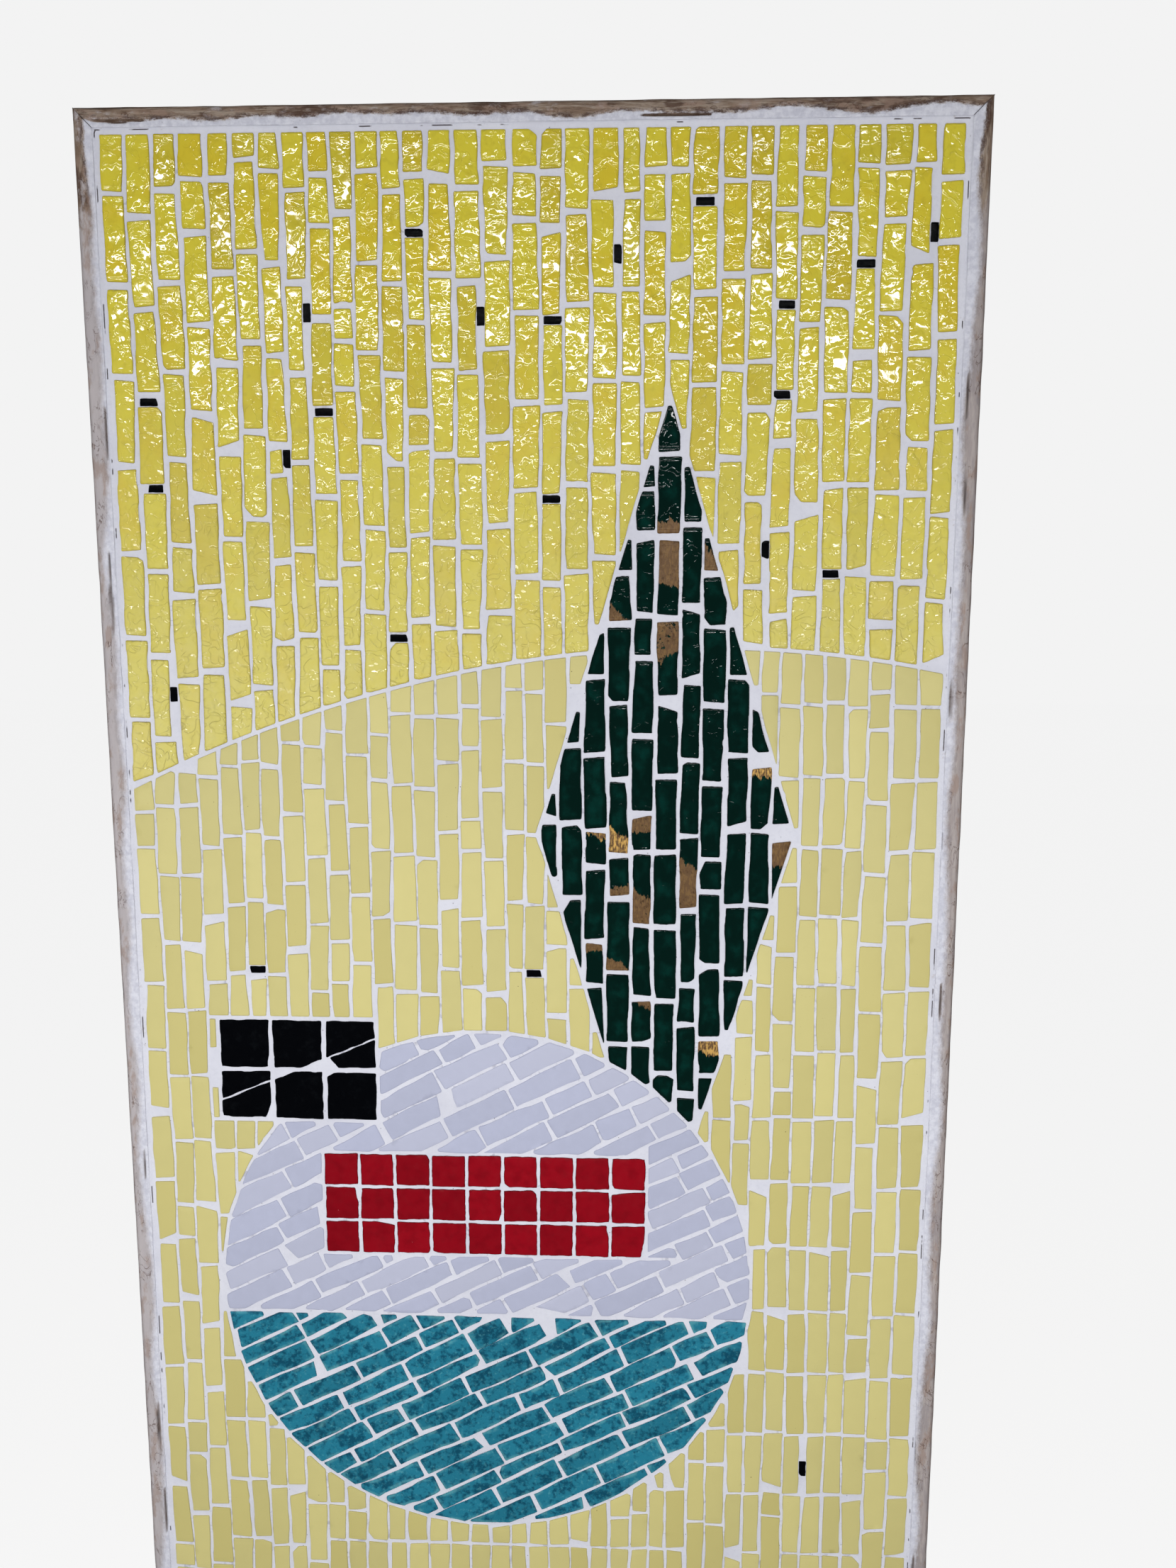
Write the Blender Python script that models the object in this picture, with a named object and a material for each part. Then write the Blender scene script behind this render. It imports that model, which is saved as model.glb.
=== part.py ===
"""A framed mosaic wall panel: a board edged with four mitred wooden rails and faced with cut tiles in grout.

The panel hangs upright. X runs to the right across its face, Z runs up, and its face looks towards -Y.
The origin is the centre of the board's flat back. All sizes are in metres.
"""

import math
import random

import bmesh
import bpy
from mathutils import Matrix, Vector

# Overall size and the wooden edging
PANEL_WIDTH = 0.500
PANEL_HEIGHT = 0.920
RAIL_WIDTH = 0.0120
RAIL_DEPTH = 0.0230
RAIL_OUTER_ROUND = 0.0040
RAIL_INNER_ROUND = 0.0012
ROUND_SEGMENTS = 4

# Layers between the wall and the face
BOARD_THICKNESS = 0.0155
BED_THICKNESS = 0.0055
TILE_PROUD = 0.0008
TILE_SUNK = 0.0030
FIT_GAP = 0.0003
CUTTER_MARGIN = 0.0050

# The picture: a disc in two halves, with room left around it
DISC_LEFT_MARGIN = 0.043
DISC_RIGHT_MARGIN = 0.103
DISC_BOTTOM_MARGIN = 0.055
DISC_SIDES = 40
HORIZON_DROP = 0.020

# The line of a hill where the bright ground meets the pale one
HILL_ABOVE_DISC = 0.230
HILL_CREST_X = 0.100
HILL_RADIUS = 0.680
HILL_STEPS = 24

# A tall lozenge that stands behind the disc
LOZENGE_WIDTH = 0.150
LOZENGE_TOP_MARGIN = 0.140
LOZENGE_FOOT_ABOVE_CENTRE = 0.035
LOZENGE_SHARE_ACROSS = 0.66

# A bar of small squares on the disc, as many as fit between its sides
RED_TILE = 0.0200
RED_JOINT = 0.0021
RED_ROWS = 3
RED_ABOVE_HORIZON = 0.040
RED_SIDE_MARGIN = 0.038

# A block of larger squares over the disc's edge, split by one slanting crack
BLACK_TILE = 0.0295
BLACK_JOINT = 0.0030
BLACK_ROWS = 2
BLACK_COLUMNS = 3
BLACK_LEFT_MARGIN = 0.046
BLACK_ABOVE_CENTRE = 0.139
CRACK_SLOPE = 0.42
CRACK_JOINT = 0.0012

# Strips: their full length, the spacing of courses, the joint, and the way that courses run in degrees
BRIGHT_LENGTH = 0.0452
BRIGHT_PITCH = 0.0143
BRIGHT_JOINT = 0.0029
PALE_LENGTH = 0.0398
PALE_PITCH = 0.0128
PALE_JOINT = 0.0020
GREEN_LENGTH = 0.0420
GREEN_PITCH = 0.0138
GREEN_JOINT = 0.0029
WHITE_LENGTH = 0.0430
WHITE_PITCH = 0.0132
WHITE_JOINT = 0.0018
TEAL_LENGTH = 0.0430
TEAL_PITCH = 0.0128
TEAL_JOINT = 0.0022
UPRIGHT = 90.0
SLANT = 27.0

# Grout left between the tiles and the rails, and between one shape and the next
EDGE_GROUT = 0.0028
SHAPE_JOINT = 0.0022

# Small black slips in the joints of the two grounds
SLIP_LENGTH = 0.0092
SLIP_WIDTH = 0.0034
SLIP_JOINT = 0.0009
SLIPS_BRIGHT = 19
SLIPS_PALE = 3

# How unevenly the tiles are cut and set, as shares of the size that each one varies
COURSE_VARIATION = 0.13
COURSE_SWAY = (0.02, 0.06)
SWAY_WAVELENGTH = (0.12, 0.30)
CUT_FIRST_CHANCE = 0.55
CUT_FIRST_LENGTH = (0.35, 0.90)
SHORT_LENGTH = (0.30, 0.60)
LENGTH_LOSS = (0.985, 1.0)
JOINT_SPREAD = (0.8, 1.4)
SHORTEST_LENGTH = 0.18
LEAST_REMAINDER = 0.30
LAST_PIECES_FROM = 2.3
END_SKEW = 0.04
SIDE_TAPER = 0.11
SIDE_INSET = 0.30
SQUARE_OFFSET = 0.16
SLIP_LYING_CHANCE = 0.6
SLIP_STANDING_PLACE = (0.25, 0.75)
SLIP_SPACING = 3.5

# A tile with less than this share of a whole strip stays flush with the grout
SMALLEST_RAISED = 0.79
SMALLEST_TILE_AREA = 0.000020
LEAST_OVERLAP = 1e-9
SAMPLE_STEP = 0.0015

COLOURS = {
    "wood": ((0.30, 0.24, 0.20), 0.75),
    "board": ((0.45, 0.33, 0.21), 0.85),
    "bright_yellow": ((0.69, 0.52, 0.045), 0.12),
    "pale_yellow": ((0.64, 0.56, 0.23), 0.35),
    "dark_green": ((0.004, 0.035, 0.027), 0.12),
    "lilac_white": ((0.56, 0.57, 0.70), 0.35),
    "teal": ((0.025, 0.21, 0.28), 0.25),
    "deep_red": ((0.38, 0.006, 0.015), 0.2),
    "black": ((0.004, 0.005, 0.006), 0.15),
}

BOARD_FRONT_Y = -BOARD_THICKNESS
BED_BACK_Y = BOARD_FRONT_Y - FIT_GAP
BED_FRONT_Y = BED_BACK_Y - BED_THICKNESS
TILE_FACE_Y = BED_FRONT_Y - TILE_PROUD
FIELD_HALF_WIDTH = PANEL_WIDTH / 2 - RAIL_WIDTH - FIT_GAP
FIELD_HALF_HEIGHT = PANEL_HEIGHT / 2 - RAIL_WIDTH - FIT_GAP


# Flat geometry on the face: a point is (x, z), and an outline runs anticlockwise


def sides(outline):
    return zip(outline, outline[1:] + outline[:1])


def signed_area(outline):
    return 0.5 * sum(p[0] * q[1] - q[0] * p[1] for p, q in sides(outline))


def anticlockwise(outline):
    return outline if signed_area(outline) >= 0 else outline[::-1]


def side_of(point, start, end):
    """How far a point lies to the left of the line from start to end."""
    dx, dz = end[0] - start[0], end[1] - start[1]
    return (dx * (point[1] - start[1]) - dz * (point[0] - start[0])) / math.hypot(dx, dz)


def crossing(p, q, sp, sq):
    t = sp / (sp - sq)
    return (p[0] + t * (q[0] - p[0]), p[1] + t * (q[1] - p[1]))


def keep_left(outline, start, end):
    """The part of a convex outline to the left of a line."""
    kept = []
    for p, q in sides(outline):
        sp, sq = side_of(p, start, end), side_of(q, start, end)
        if sp >= 0:
            kept.append(p)
        if sp * sq < 0:
            kept.append(crossing(p, q, sp, sq))
    return kept if len(kept) > 2 else []


def inside_of(outline, shape):
    """The part of a convex outline that lies in a convex shape."""
    for start, end in sides(shape):
        if outline:
            outline = keep_left(outline, start, end)
    return outline


def area_of(outline):
    return signed_area(outline) if outline else 0.0


def largest_beyond(outline, shape):
    """The number of the side of a convex shape that leaves most of an outline beyond it, and that part."""
    beyond = [keep_left(outline, end, start) if outline else [] for start, end in sides(shape)]
    number = max(range(len(beyond)), key=lambda n: area_of(beyond[n]))
    return number, beyond[number]


def outside_of(outline, shape, joint):
    """A tile cut straight along a convex shape, and a second piece where it reaches round the shape's corner."""
    if area_of(inside_of(outline, shape)) < LEAST_OVERLAP:
        return [outline]
    number, main_piece = largest_beyond(outline, shape)
    start, end = list(sides(grown(shape, -joint)))[number]
    return [main_piece, largest_beyond(keep_left(outline, start, end), shape)[1]]


def grown(shape, by):
    """A convex outline with every side moved outwards, or inwards where by is negative."""
    moved = []
    for start, end in sides(shape):
        length = math.dist(start, end)
        ox, oz = (end[1] - start[1]) / length * by, (start[0] - end[0]) / length * by
        moved.append(((start[0] + ox, start[1] + oz), (end[0] + ox, end[1] + oz)))
    corners = []
    for (p, q), (start, end) in zip(moved[-1:] + moved[:-1], moved):
        corners.append(crossing(p, q, side_of(p, start, end), side_of(q, start, end)))
    return corners


def box_of(outline):
    xs, zs = zip(*outline)
    return min(xs), min(zs), max(xs), max(zs)


def contains(shape, point):
    return all(side_of(point, start, end) >= 0 for start, end in sides(shape))


def rectangle(x, z, width, height):
    left, right = x - width / 2, x + width / 2
    low, high = z - height / 2, z + height / 2
    return [(left, low), (right, low), (right, high), (left, high)]


# The shapes of the picture

FIELD = rectangle(0, 0, 2 * FIELD_HALF_WIDTH, 2 * FIELD_HALF_HEIGHT)
DISC_RADIUS = FIELD_HALF_WIDTH - (DISC_LEFT_MARGIN + DISC_RIGHT_MARGIN) / 2
DISC_X = (DISC_LEFT_MARGIN - DISC_RIGHT_MARGIN) / 2
DISC_Z = -FIELD_HALF_HEIGHT + DISC_BOTTOM_MARGIN + DISC_RADIUS
HORIZON_Z = DISC_Z - HORIZON_DROP
HILL_CREST_Z = DISC_Z + DISC_RADIUS + HILL_ABOVE_DISC
RED_PITCH = RED_TILE + RED_JOINT
RED_Z = HORIZON_Z + RED_ABOVE_HORIZON + RED_ROWS * RED_PITCH / 2
BLACK_PITCH = BLACK_TILE + BLACK_JOINT
BLACK_X = -FIELD_HALF_WIDTH + BLACK_LEFT_MARGIN + BLACK_COLUMNS * BLACK_PITCH / 2
BLACK_Z = DISC_Z + BLACK_ABOVE_CENTRE


def red_columns():
    """How many small squares fit across the disc at the height of the bar's upper edge."""
    rise = RED_Z + RED_ROWS * RED_PITCH / 2 - DISC_Z
    room = 2 * math.sqrt(max(DISC_RADIUS**2 - rise**2, 0.0)) - 2 * RED_SIDE_MARGIN
    return max(1, int(room / RED_PITCH))


def disc_outline():
    turns = [2 * math.pi * (n + 0.5) / DISC_SIDES for n in range(DISC_SIDES)]
    return [(DISC_X + DISC_RADIUS * math.cos(t), DISC_Z + DISC_RADIUS * math.sin(t)) for t in turns]


def lozenge_outline():
    top = FIELD_HALF_HEIGHT - LOZENGE_TOP_MARGIN
    foot = DISC_Z + LOZENGE_FOOT_ABOVE_CENTRE
    x = DISC_X + LOZENGE_SHARE_ACROSS * DISC_RADIUS
    middle = (top + foot) / 2
    return [(x, foot), (x + LOZENGE_WIDTH / 2, middle), (x, top), (x - LOZENGE_WIDTH / 2, middle)]


def hill_height(x):
    return HILL_CREST_Z - (x - HILL_CREST_X) ** 2 / (2 * HILL_RADIUS)


def ground_outline(above):
    """The field above or below the hill line, which both grounds stop short of by half a fit gap."""
    lift = FIT_GAP / 2 if above else -FIT_GAP / 2
    far = FIELD_HALF_HEIGHT if above else -FIELD_HALF_HEIGHT
    step = 2 * FIELD_HALF_WIDTH / HILL_STEPS
    places = [-FIELD_HALF_WIDTH + n * step for n in range(HILL_STEPS + 1)]
    line = [(x, hill_height(x) + lift) for x in places]
    return anticlockwise(line + [(FIELD_HALF_WIDTH, far), (-FIELD_HALF_WIDTH, far)])


RED_COLUMNS = red_columns()
DISC = disc_outline()

# Front shapes come first, and each one hides what lies after it
SHAPES = {
    "red": rectangle(DISC_X, RED_Z, RED_COLUMNS * RED_PITCH, RED_ROWS * RED_PITCH),
    "black": rectangle(BLACK_X, BLACK_Z, BLACK_COLUMNS * BLACK_PITCH, BLACK_ROWS * BLACK_PITCH),
    "white": keep_left(DISC, (0, HORIZON_Z), (1, HORIZON_Z)),
    "teal": keep_left(DISC, (1, HORIZON_Z), (0, HORIZON_Z)),
    "green": lozenge_outline(),
}
BOXES = {name: box_of(shape) for name, shape in SHAPES.items()}

# Strip length, course spacing, joint, the way of a course, the share of short pieces and a seed
STRIPS = {
    "bright": (BRIGHT_LENGTH, BRIGHT_PITCH, BRIGHT_JOINT, UPRIGHT, 0.10, 11),
    "pale": (PALE_LENGTH, PALE_PITCH, PALE_JOINT, UPRIGHT, 0.07, 23),
    "green": (GREEN_LENGTH, GREEN_PITCH, GREEN_JOINT, UPRIGHT, 0.12, 35),
    "white": (WHITE_LENGTH, WHITE_PITCH, WHITE_JOINT, SLANT, 0.14, 47),
    "teal": (TEAL_LENGTH, TEAL_PITCH, TEAL_JOINT, SLANT, 0.14, 59),
}


def zone_at(point):
    """The zone that shows at a point of the face."""
    x, z = point
    for name, (left, low, right, high) in BOXES.items():
        if left <= x <= right and low <= z <= high and contains(SHAPES[name], point):
            return name
    if abs(x) > FIELD_HALF_WIDTH or abs(z) > FIELD_HALF_HEIGHT:
        return None
    return "bright" if z > hill_height(x) else "pale"


def front_shapes(zone):
    """The outlines that lie in front of a zone."""
    names = list(SHAPES)
    in_front = names[: names.index(zone)] if zone in SHAPES else names
    return [SHAPES[name] for name in in_front if {name, zone} != {"white", "teal"}]


# Laying the tiles: a tile is its outline and its share of a whole strip


def course_edges(low, high, pitch, rng):
    """Unevenly spaced lines between courses, each as its place, sway, wavelength and phase."""
    count = max(1, round((high - low) / pitch))
    widths = [1 + rng.uniform(-COURSE_VARIATION, COURSE_VARIATION) for _ in range(count)]
    places = [low]
    for width in widths:
        places.append(places[-1] + width * (high - low) / sum(widths))
    edges = []
    for place in places:
        sway = rng.uniform(*COURSE_SWAY) * pitch
        edges.append((place, sway, rng.uniform(*SWAY_WAVELENGTH), rng.uniform(0, 2 * math.pi)))
    return edges


def edge_at(edge, along):
    place, sway, wavelength, phase = edge
    return place + sway * math.sin(2 * math.pi * along / wavelength + phase)


def runs_in_zone(zone, place_of, low, high):
    """Stretches of a line that lie in a zone, as (start, end)."""
    runs, start = [], None
    steps = int((high - low) / SAMPLE_STEP) + 2
    for n in range(steps + 1):
        along = low + n * SAMPLE_STEP
        here = n < steps and zone_at(place_of(along)) == zone
        if here and start is None:
            start = along
        if not here and start is not None:
            runs.append((start, along))
            start = None
    return runs


def widened(run, side_runs, most):
    """A course's stretch, lengthened to where its two sides enter and leave the zone."""
    start, end = run
    for low, high in side_runs:
        if low < run[1] and high > run[0]:
            start, end = min(start, low), max(end, high)
    return max(start, run[0] - most), min(end, run[1] + most)


def split_course(start, end, length, joint, short_share, rng):
    """The strips along one stretch, as (start, end): whole ones, with a cut one at each end."""
    pieces, at = [], start
    first = length * (rng.uniform(*CUT_FIRST_LENGTH) if rng.random() < CUT_FIRST_CHANCE else 1)
    while end - at > LAST_PIECES_FROM * length:
        piece = length if pieces else first
        if pieces and rng.random() < short_share:
            piece = length * rng.uniform(*SHORT_LENGTH)
        pieces.append((at, at + piece * rng.uniform(*LENGTH_LOSS)))
        at = pieces[-1][1] + joint * rng.uniform(*JOINT_SPREAD)
    while end - at > SHORTEST_LENGTH * length:
        left = end - at
        if left <= length:
            piece = left
        elif left - length - joint >= LEAST_REMAINDER * length:
            piece = length
        else:
            piece = (left - joint) / 2
        pieces.append((at, at + piece))
        at += piece + joint * rng.uniform(*JOINT_SPREAD)
    return pieces


def strip_corners(low, high, first_edge, next_edge, joint, pitch, rng):
    """Corners of a hand-cut strip, as (along, across): its long sides taper and its ends are a little askew."""
    skew = rng.uniform(-END_SKEW, END_SKEW) * pitch
    corners = []
    for along, edge, inward in (
        (low, first_edge, 1),
        (low, next_edge, -1),
        (high, next_edge, -1),
        (high, first_edge, 1),
    ):
        inset = joint * SIDE_INSET + rng.random() ** 2 * SIDE_TAPER * pitch
        corners.append((along + skew * inward, edge_at(edge, along) + inward * inset))
    return corners


def trim_at_hill(zone, outline):
    """A ground's tile cut along the hill line, half a joint short of it."""
    middle = sum(corner[0] for corner in outline) / len(outline)
    slope = (HILL_CREST_X - middle) / HILL_RADIUS
    lift = SHAPE_JOINT / 2 * math.hypot(1, slope) * (1 if zone == "bright" else -1)
    start = (middle, hill_height(middle) + lift)
    end = (middle + 1, start[1] + slope)
    return keep_left(outline, start, end) if zone == "bright" else keep_left(outline, end, start)


def trim_tile(zone, outline):
    """The pieces of a tile cut back from the rails, from its zone's edge and from the shapes in front of it."""
    outline = inside_of(outline, grown(FIELD, -EDGE_GROUT))
    if outline and zone in SHAPES:
        outline = inside_of(outline, grown(SHAPES[zone], -SHAPE_JOINT / 2))
    elif outline:
        outline = trim_at_hill(zone, outline)
    pieces = [outline]
    for shape in front_shapes(zone):
        edge = grown(shape, SHAPE_JOINT / 2)
        pieces = [cut for piece in pieces if piece for cut in outside_of(piece, edge, SHAPE_JOINT)]
    return [piece for piece in pieces if area_of(piece) > SMALLEST_TILE_AREA]


def lay_strips(zone):
    """The strips of one zone, laid in courses from edge to edge and trimmed."""
    length, pitch, joint, direction, short_share, seed = STRIPS[zone]
    rng = random.Random(seed)
    turn = math.radians(direction)
    cos, sin = math.cos(turn), math.sin(turn)
    corners = SHAPES.get(zone, FIELD)
    alongs = [x * cos + z * sin for x, z in corners]
    acrosses = [z * cos - x * sin for x, z in corners]
    inset = EDGE_GROUT - joint / 2 if zone not in SHAPES else 0.0
    edges = course_edges(min(acrosses) + inset, max(acrosses) - inset, pitch, rng)
    ends = (min(alongs), max(alongs))

    def on_face(along, across):
        return (along * cos - across * sin, along * sin + across * cos)

    tiles = []
    for one, two in zip(edges, edges[1:]):
        runs = {}
        for share in (0.15, 0.5, 0.85):

            def place(along, share=share):
                across = edge_at(one, along) * (1 - share) + edge_at(two, along) * share
                return on_face(along, across)

            runs[share] = runs_in_zone(zone, place, *ends)
        for run in runs[0.5]:
            start, end = widened(run, runs[0.15] + runs[0.85], 1.5 * pitch)
            for low, high in split_course(start, end, length, joint, short_share, rng):
                strip = strip_corners(low, high, one, two, joint, pitch, rng)
                for piece in trim_tile(zone, anticlockwise([on_face(*corner) for corner in strip])):
                    tiles.append((piece, signed_area(piece) / (length * (pitch - joint))))
    return tiles


def lay_squares(x, z, columns, rows, tile, joint, seed):
    """A block of square tiles, each corner a little off true."""
    rng = random.Random(seed)
    off = SQUARE_OFFSET * joint
    tiles = []
    for row in range(rows):
        for column in range(columns):
            middle_x = x + (column - (columns - 1) / 2) * (tile + joint)
            middle_z = z + (row - (rows - 1) / 2) * (tile + joint)
            square = rectangle(middle_x, middle_z, tile, tile)
            square = [(c[0] + rng.uniform(-off, off), c[1] + rng.uniform(-off, off)) for c in square]
            tiles.append((square, 1.0))
    return tiles


def cracked(tiles, x, z):
    """Tiles split where one slanting crack through a point crosses them."""
    lift = CRACK_JOINT / 2 * math.hypot(1, CRACK_SLOPE)
    above = ((x, z + lift), (x + 1, z + lift + CRACK_SLOPE))
    below = ((x + 1, z - lift + CRACK_SLOPE), (x, z - lift))
    pieces = [(keep_left(tile, *cut), share) for tile, share in tiles for cut in (above, below)]
    return [(piece, share) for piece, share in pieces if area_of(piece) > SMALLEST_TILE_AREA]


def place_slips(zone, tiles, count, rng):
    """Outlines of small slips: some lie on the upper end of a strip, and some stand at its side."""
    slips = []
    order = list(range(len(tiles)))
    rng.shuffle(order)
    for number in order:
        left, low, right, high = box_of(tiles[number][0])
        if rng.random() < SLIP_LYING_CHANCE:
            slip = rectangle((left + right) / 2, high, SLIP_LENGTH, SLIP_WIDTH)
        else:
            z = low + rng.uniform(*SLIP_STANDING_PLACE) * (high - low)
            slip = rectangle(right, z, SLIP_WIDTH, SLIP_LENGTH)
        apart = all(math.dist(slip[0], other[0]) > SLIP_SPACING * SLIP_LENGTH for other in slips)
        if apart and all(zone_at(corner) == zone for corner in grown(slip, SLIP_LENGTH)):
            slips.append(slip)
        if len(slips) == count:
            break
    return slips


def trimmed_by_slips(tiles, slips):
    trimmed = []
    for outline, share in tiles:
        whole = signed_area(outline)
        for slip in slips:
            edge = grown(slip, SLIP_JOINT)
            if area_of(inside_of(outline, edge)) > LEAST_OVERLAP:
                outline = largest_beyond(outline, edge)[1]
        trimmed.append((outline, share * area_of(outline) / whole))
    return [(outline, share) for outline, share in trimmed if area_of(outline) > SMALLEST_TILE_AREA]


def lay_all():
    """Every zone's tiles, by zone name."""
    laid = {zone: lay_strips(zone) for zone in STRIPS}
    rng = random.Random(71)
    for zone, count in (("bright", SLIPS_BRIGHT), ("pale", SLIPS_PALE)):
        laid[zone] = trimmed_by_slips(laid[zone], place_slips(zone, laid[zone], count, rng))
    laid["red"] = lay_squares(DISC_X, RED_Z, RED_COLUMNS, RED_ROWS, RED_TILE, RED_JOINT, 83)
    blocks = lay_squares(BLACK_X, BLACK_Z, BLACK_COLUMNS, BLACK_ROWS, BLACK_TILE, BLACK_JOINT, 97)
    laid["black"] = cracked(blocks, BLACK_X, BLACK_Z)
    return laid


# Building the solids


def clear_scene():
    for obj in list(bpy.data.objects):
        bpy.data.objects.remove(obj, do_unlink=True)


def new_collection(name):
    made = bpy.data.collections.new(name)
    bpy.context.scene.collection.children.link(made)
    return made


def material(name):
    colour, roughness = COLOURS[name]
    made = bpy.data.materials.get(name) or bpy.data.materials.new(name)
    made.use_nodes = True
    shader = made.node_tree.nodes["Principled BSDF"]
    shader.inputs["Base Color"].default_value = (*colour, 1.0)
    shader.inputs["Roughness"].default_value = roughness
    shader.inputs["Metallic"].default_value = 0.0
    return made


def plates(name, outlines, back_y, front_y, holder):
    """Outlines on the face, made into plates that reach from one depth to another."""
    curve = bpy.data.curves.new(name, "CURVE")
    curve.dimensions = "2D"
    curve.fill_mode = "BOTH"
    curve.extrude = abs(front_y - back_y) / 2
    for outline in outlines:
        spline = curve.splines.new("POLY")
        spline.points.add(len(outline) - 1)
        for point, (x, z) in zip(spline.points, outline):
            point.co = (x, z, 0, 1)
        spline.use_cyclic_u = True
    flat = bpy.data.objects.new(name + "_outline", curve)
    holder.objects.link(flat)
    flat.location = (0, (back_y + front_y) / 2, 0)
    flat.rotation_euler = (math.radians(90), 0, 0)
    bpy.context.view_layer.update()
    graph = bpy.context.evaluated_depsgraph_get()
    mesh = bpy.data.meshes.new_from_object(flat.evaluated_get(graph))
    shape = bmesh.new()
    shape.from_mesh(mesh)
    bmesh.ops.remove_doubles(shape, verts=shape.verts, dist=1e-6)
    bmesh.ops.recalc_face_normals(shape, faces=shape.faces)
    shape.to_mesh(mesh)
    shape.free()
    solid = bpy.data.objects.new(name, mesh)
    solid.matrix_world = flat.matrix_world.copy()
    holder.objects.link(solid)
    bpy.data.objects.remove(flat)
    return solid


def combine(solid, other, operation):
    other.hide_render = True
    other.display_type = "WIRE"
    boolean = solid.modifiers.new(other.name, "BOOLEAN")
    boolean.operation = operation
    boolean.object = other
    boolean.solver = "EXACT"


def make_zone(name, zone, colour, tiles, parts, cutters):
    """One zone of the mosaic: its bed of grout, cut back from what lies in front, with the tiles fused on."""
    if zone in SHAPES:
        outline = grown(inside_of(SHAPES[zone], FIELD), -FIT_GAP / 2)
    else:
        outline = ground_outline(above=zone == "bright")
    bed = plates(name, [outline], BED_BACK_Y, BED_FRONT_Y, parts)
    bed.data.materials.append(material(colour))
    cut_back, cut_front = BED_BACK_Y + CUTTER_MARGIN, BED_FRONT_Y - CUTTER_MARGIN
    for number, shape in enumerate(front_shapes(zone)):
        cutter = plates(f"{name}_cutter_{number}", [grown(shape, FIT_GAP / 2)], cut_back, cut_front, cutters)
        combine(bed, cutter, "DIFFERENCE")
    raised = [outline for outline, share in tiles if share >= SMALLEST_RAISED]
    relief = plates(f"{name}_tiles", raised, BED_FRONT_Y + TILE_SUNK, TILE_FACE_Y, cutters)
    combine(bed, relief, "UNION")


def make_board(parts):
    bpy.ops.mesh.primitive_cube_add(size=1)
    board = bpy.context.object
    board.name = "backing_board"
    board.data.transform(Matrix.Diagonal((2 * FIELD_HALF_WIDTH, BOARD_THICKNESS, 2 * FIELD_HALF_HEIGHT, 1)))
    board.location = (0, -BOARD_THICKNESS / 2, 0)
    board.data.materials.append(material("board"))
    for holder in list(board.users_collection):
        holder.objects.unlink(board)
    parts.objects.link(board)


def round_front_edge(shape, edge_z, radius):
    """Round the one front edge of a rail that runs along X at a given height."""

    def on_edge(vert):
        return abs(vert.co.y + RAIL_DEPTH) < FIT_GAP and abs(vert.co.z - edge_z) < FIT_GAP

    front = [edge for edge in shape.edges if all(on_edge(vert) for vert in edge.verts)]
    bmesh.ops.bevel(shape, geom=front, offset=radius, segments=ROUND_SEGMENTS, profile=0.5, affect="EDGES")


def make_rail(name, length, reach, turn, parts):
    """A rail along X with its outer edge at Z = reach, mitred at both ends, then turned about Y into place."""
    shape = bmesh.new()
    bmesh.ops.create_cube(shape, size=1)
    bmesh.ops.scale(shape, vec=(length, RAIL_DEPTH, RAIL_WIDTH), verts=shape.verts)
    bmesh.ops.translate(shape, vec=(0, -RAIL_DEPTH / 2, reach - RAIL_WIDTH / 2), verts=shape.verts)
    round_front_edge(shape, reach, RAIL_OUTER_ROUND)
    round_front_edge(shape, reach - RAIL_WIDTH, RAIL_INNER_ROUND)
    for end in (-1, 1):
        corner = Vector((end * (length / 2 - FIT_GAP / math.sqrt(2)), 0, reach))
        beyond = Vector((end, 0, -1)).normalized()
        everything = shape.verts[:] + shape.edges[:] + shape.faces[:]
        bmesh.ops.bisect_plane(shape, geom=everything, plane_co=corner, plane_no=beyond, clear_outer=True)
        rim = [edge for edge in shape.edges if edge.is_boundary]
        bmesh.ops.holes_fill(shape, edges=rim, sides=0)
    bmesh.ops.recalc_face_normals(shape, faces=shape.faces)
    mesh = bpy.data.meshes.new(name)
    shape.to_mesh(mesh)
    shape.free()
    mesh.shade_smooth()
    mesh.set_sharp_from_angle(angle=math.radians(40))
    mesh.materials.append(material("wood"))
    rail = bpy.data.objects.new(name, mesh)
    rail.rotation_euler = (0, math.radians(turn), 0)
    parts.objects.link(rail)


def main():
    clear_scene()
    parts = new_collection("mosaic_panel")
    cutters = new_collection("cutters")
    make_board(parts)
    make_rail("rail_top", PANEL_WIDTH, PANEL_HEIGHT / 2, 0, parts)
    make_rail("rail_right", PANEL_HEIGHT, PANEL_WIDTH / 2, 90, parts)
    make_rail("rail_bottom", PANEL_WIDTH, PANEL_HEIGHT / 2, 180, parts)
    make_rail("rail_left", PANEL_HEIGHT, PANEL_WIDTH / 2, 270, parts)
    laid = lay_all()
    make_zone("bright_ground", "bright", "bright_yellow", laid["bright"], parts, cutters)
    make_zone("pale_ground", "pale", "pale_yellow", laid["pale"], parts, cutters)
    make_zone("green_lozenge", "green", "dark_green", laid["green"], parts, cutters)
    make_zone("white_half_disc", "white", "lilac_white", laid["white"], parts, cutters)
    make_zone("teal_half_disc", "teal", "teal", laid["teal"], parts, cutters)
    make_zone("red_bar", "red", "deep_red", laid["red"], parts, cutters)
    make_zone("black_block", "black", "black", laid["black"], parts, cutters)


main()
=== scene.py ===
"""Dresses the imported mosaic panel: hand-cut glazed tiles, grout, weathered rails and a board.

The panel hangs upright. X runs to the right across its face, Z runs up, and its face looks towards -Y.
The layout of the tiles repeats the part's own source, so that each tile sits where the solids have it.
All sizes are in metres, unless a name says mm.
"""

import functools
import math
import random

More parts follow.
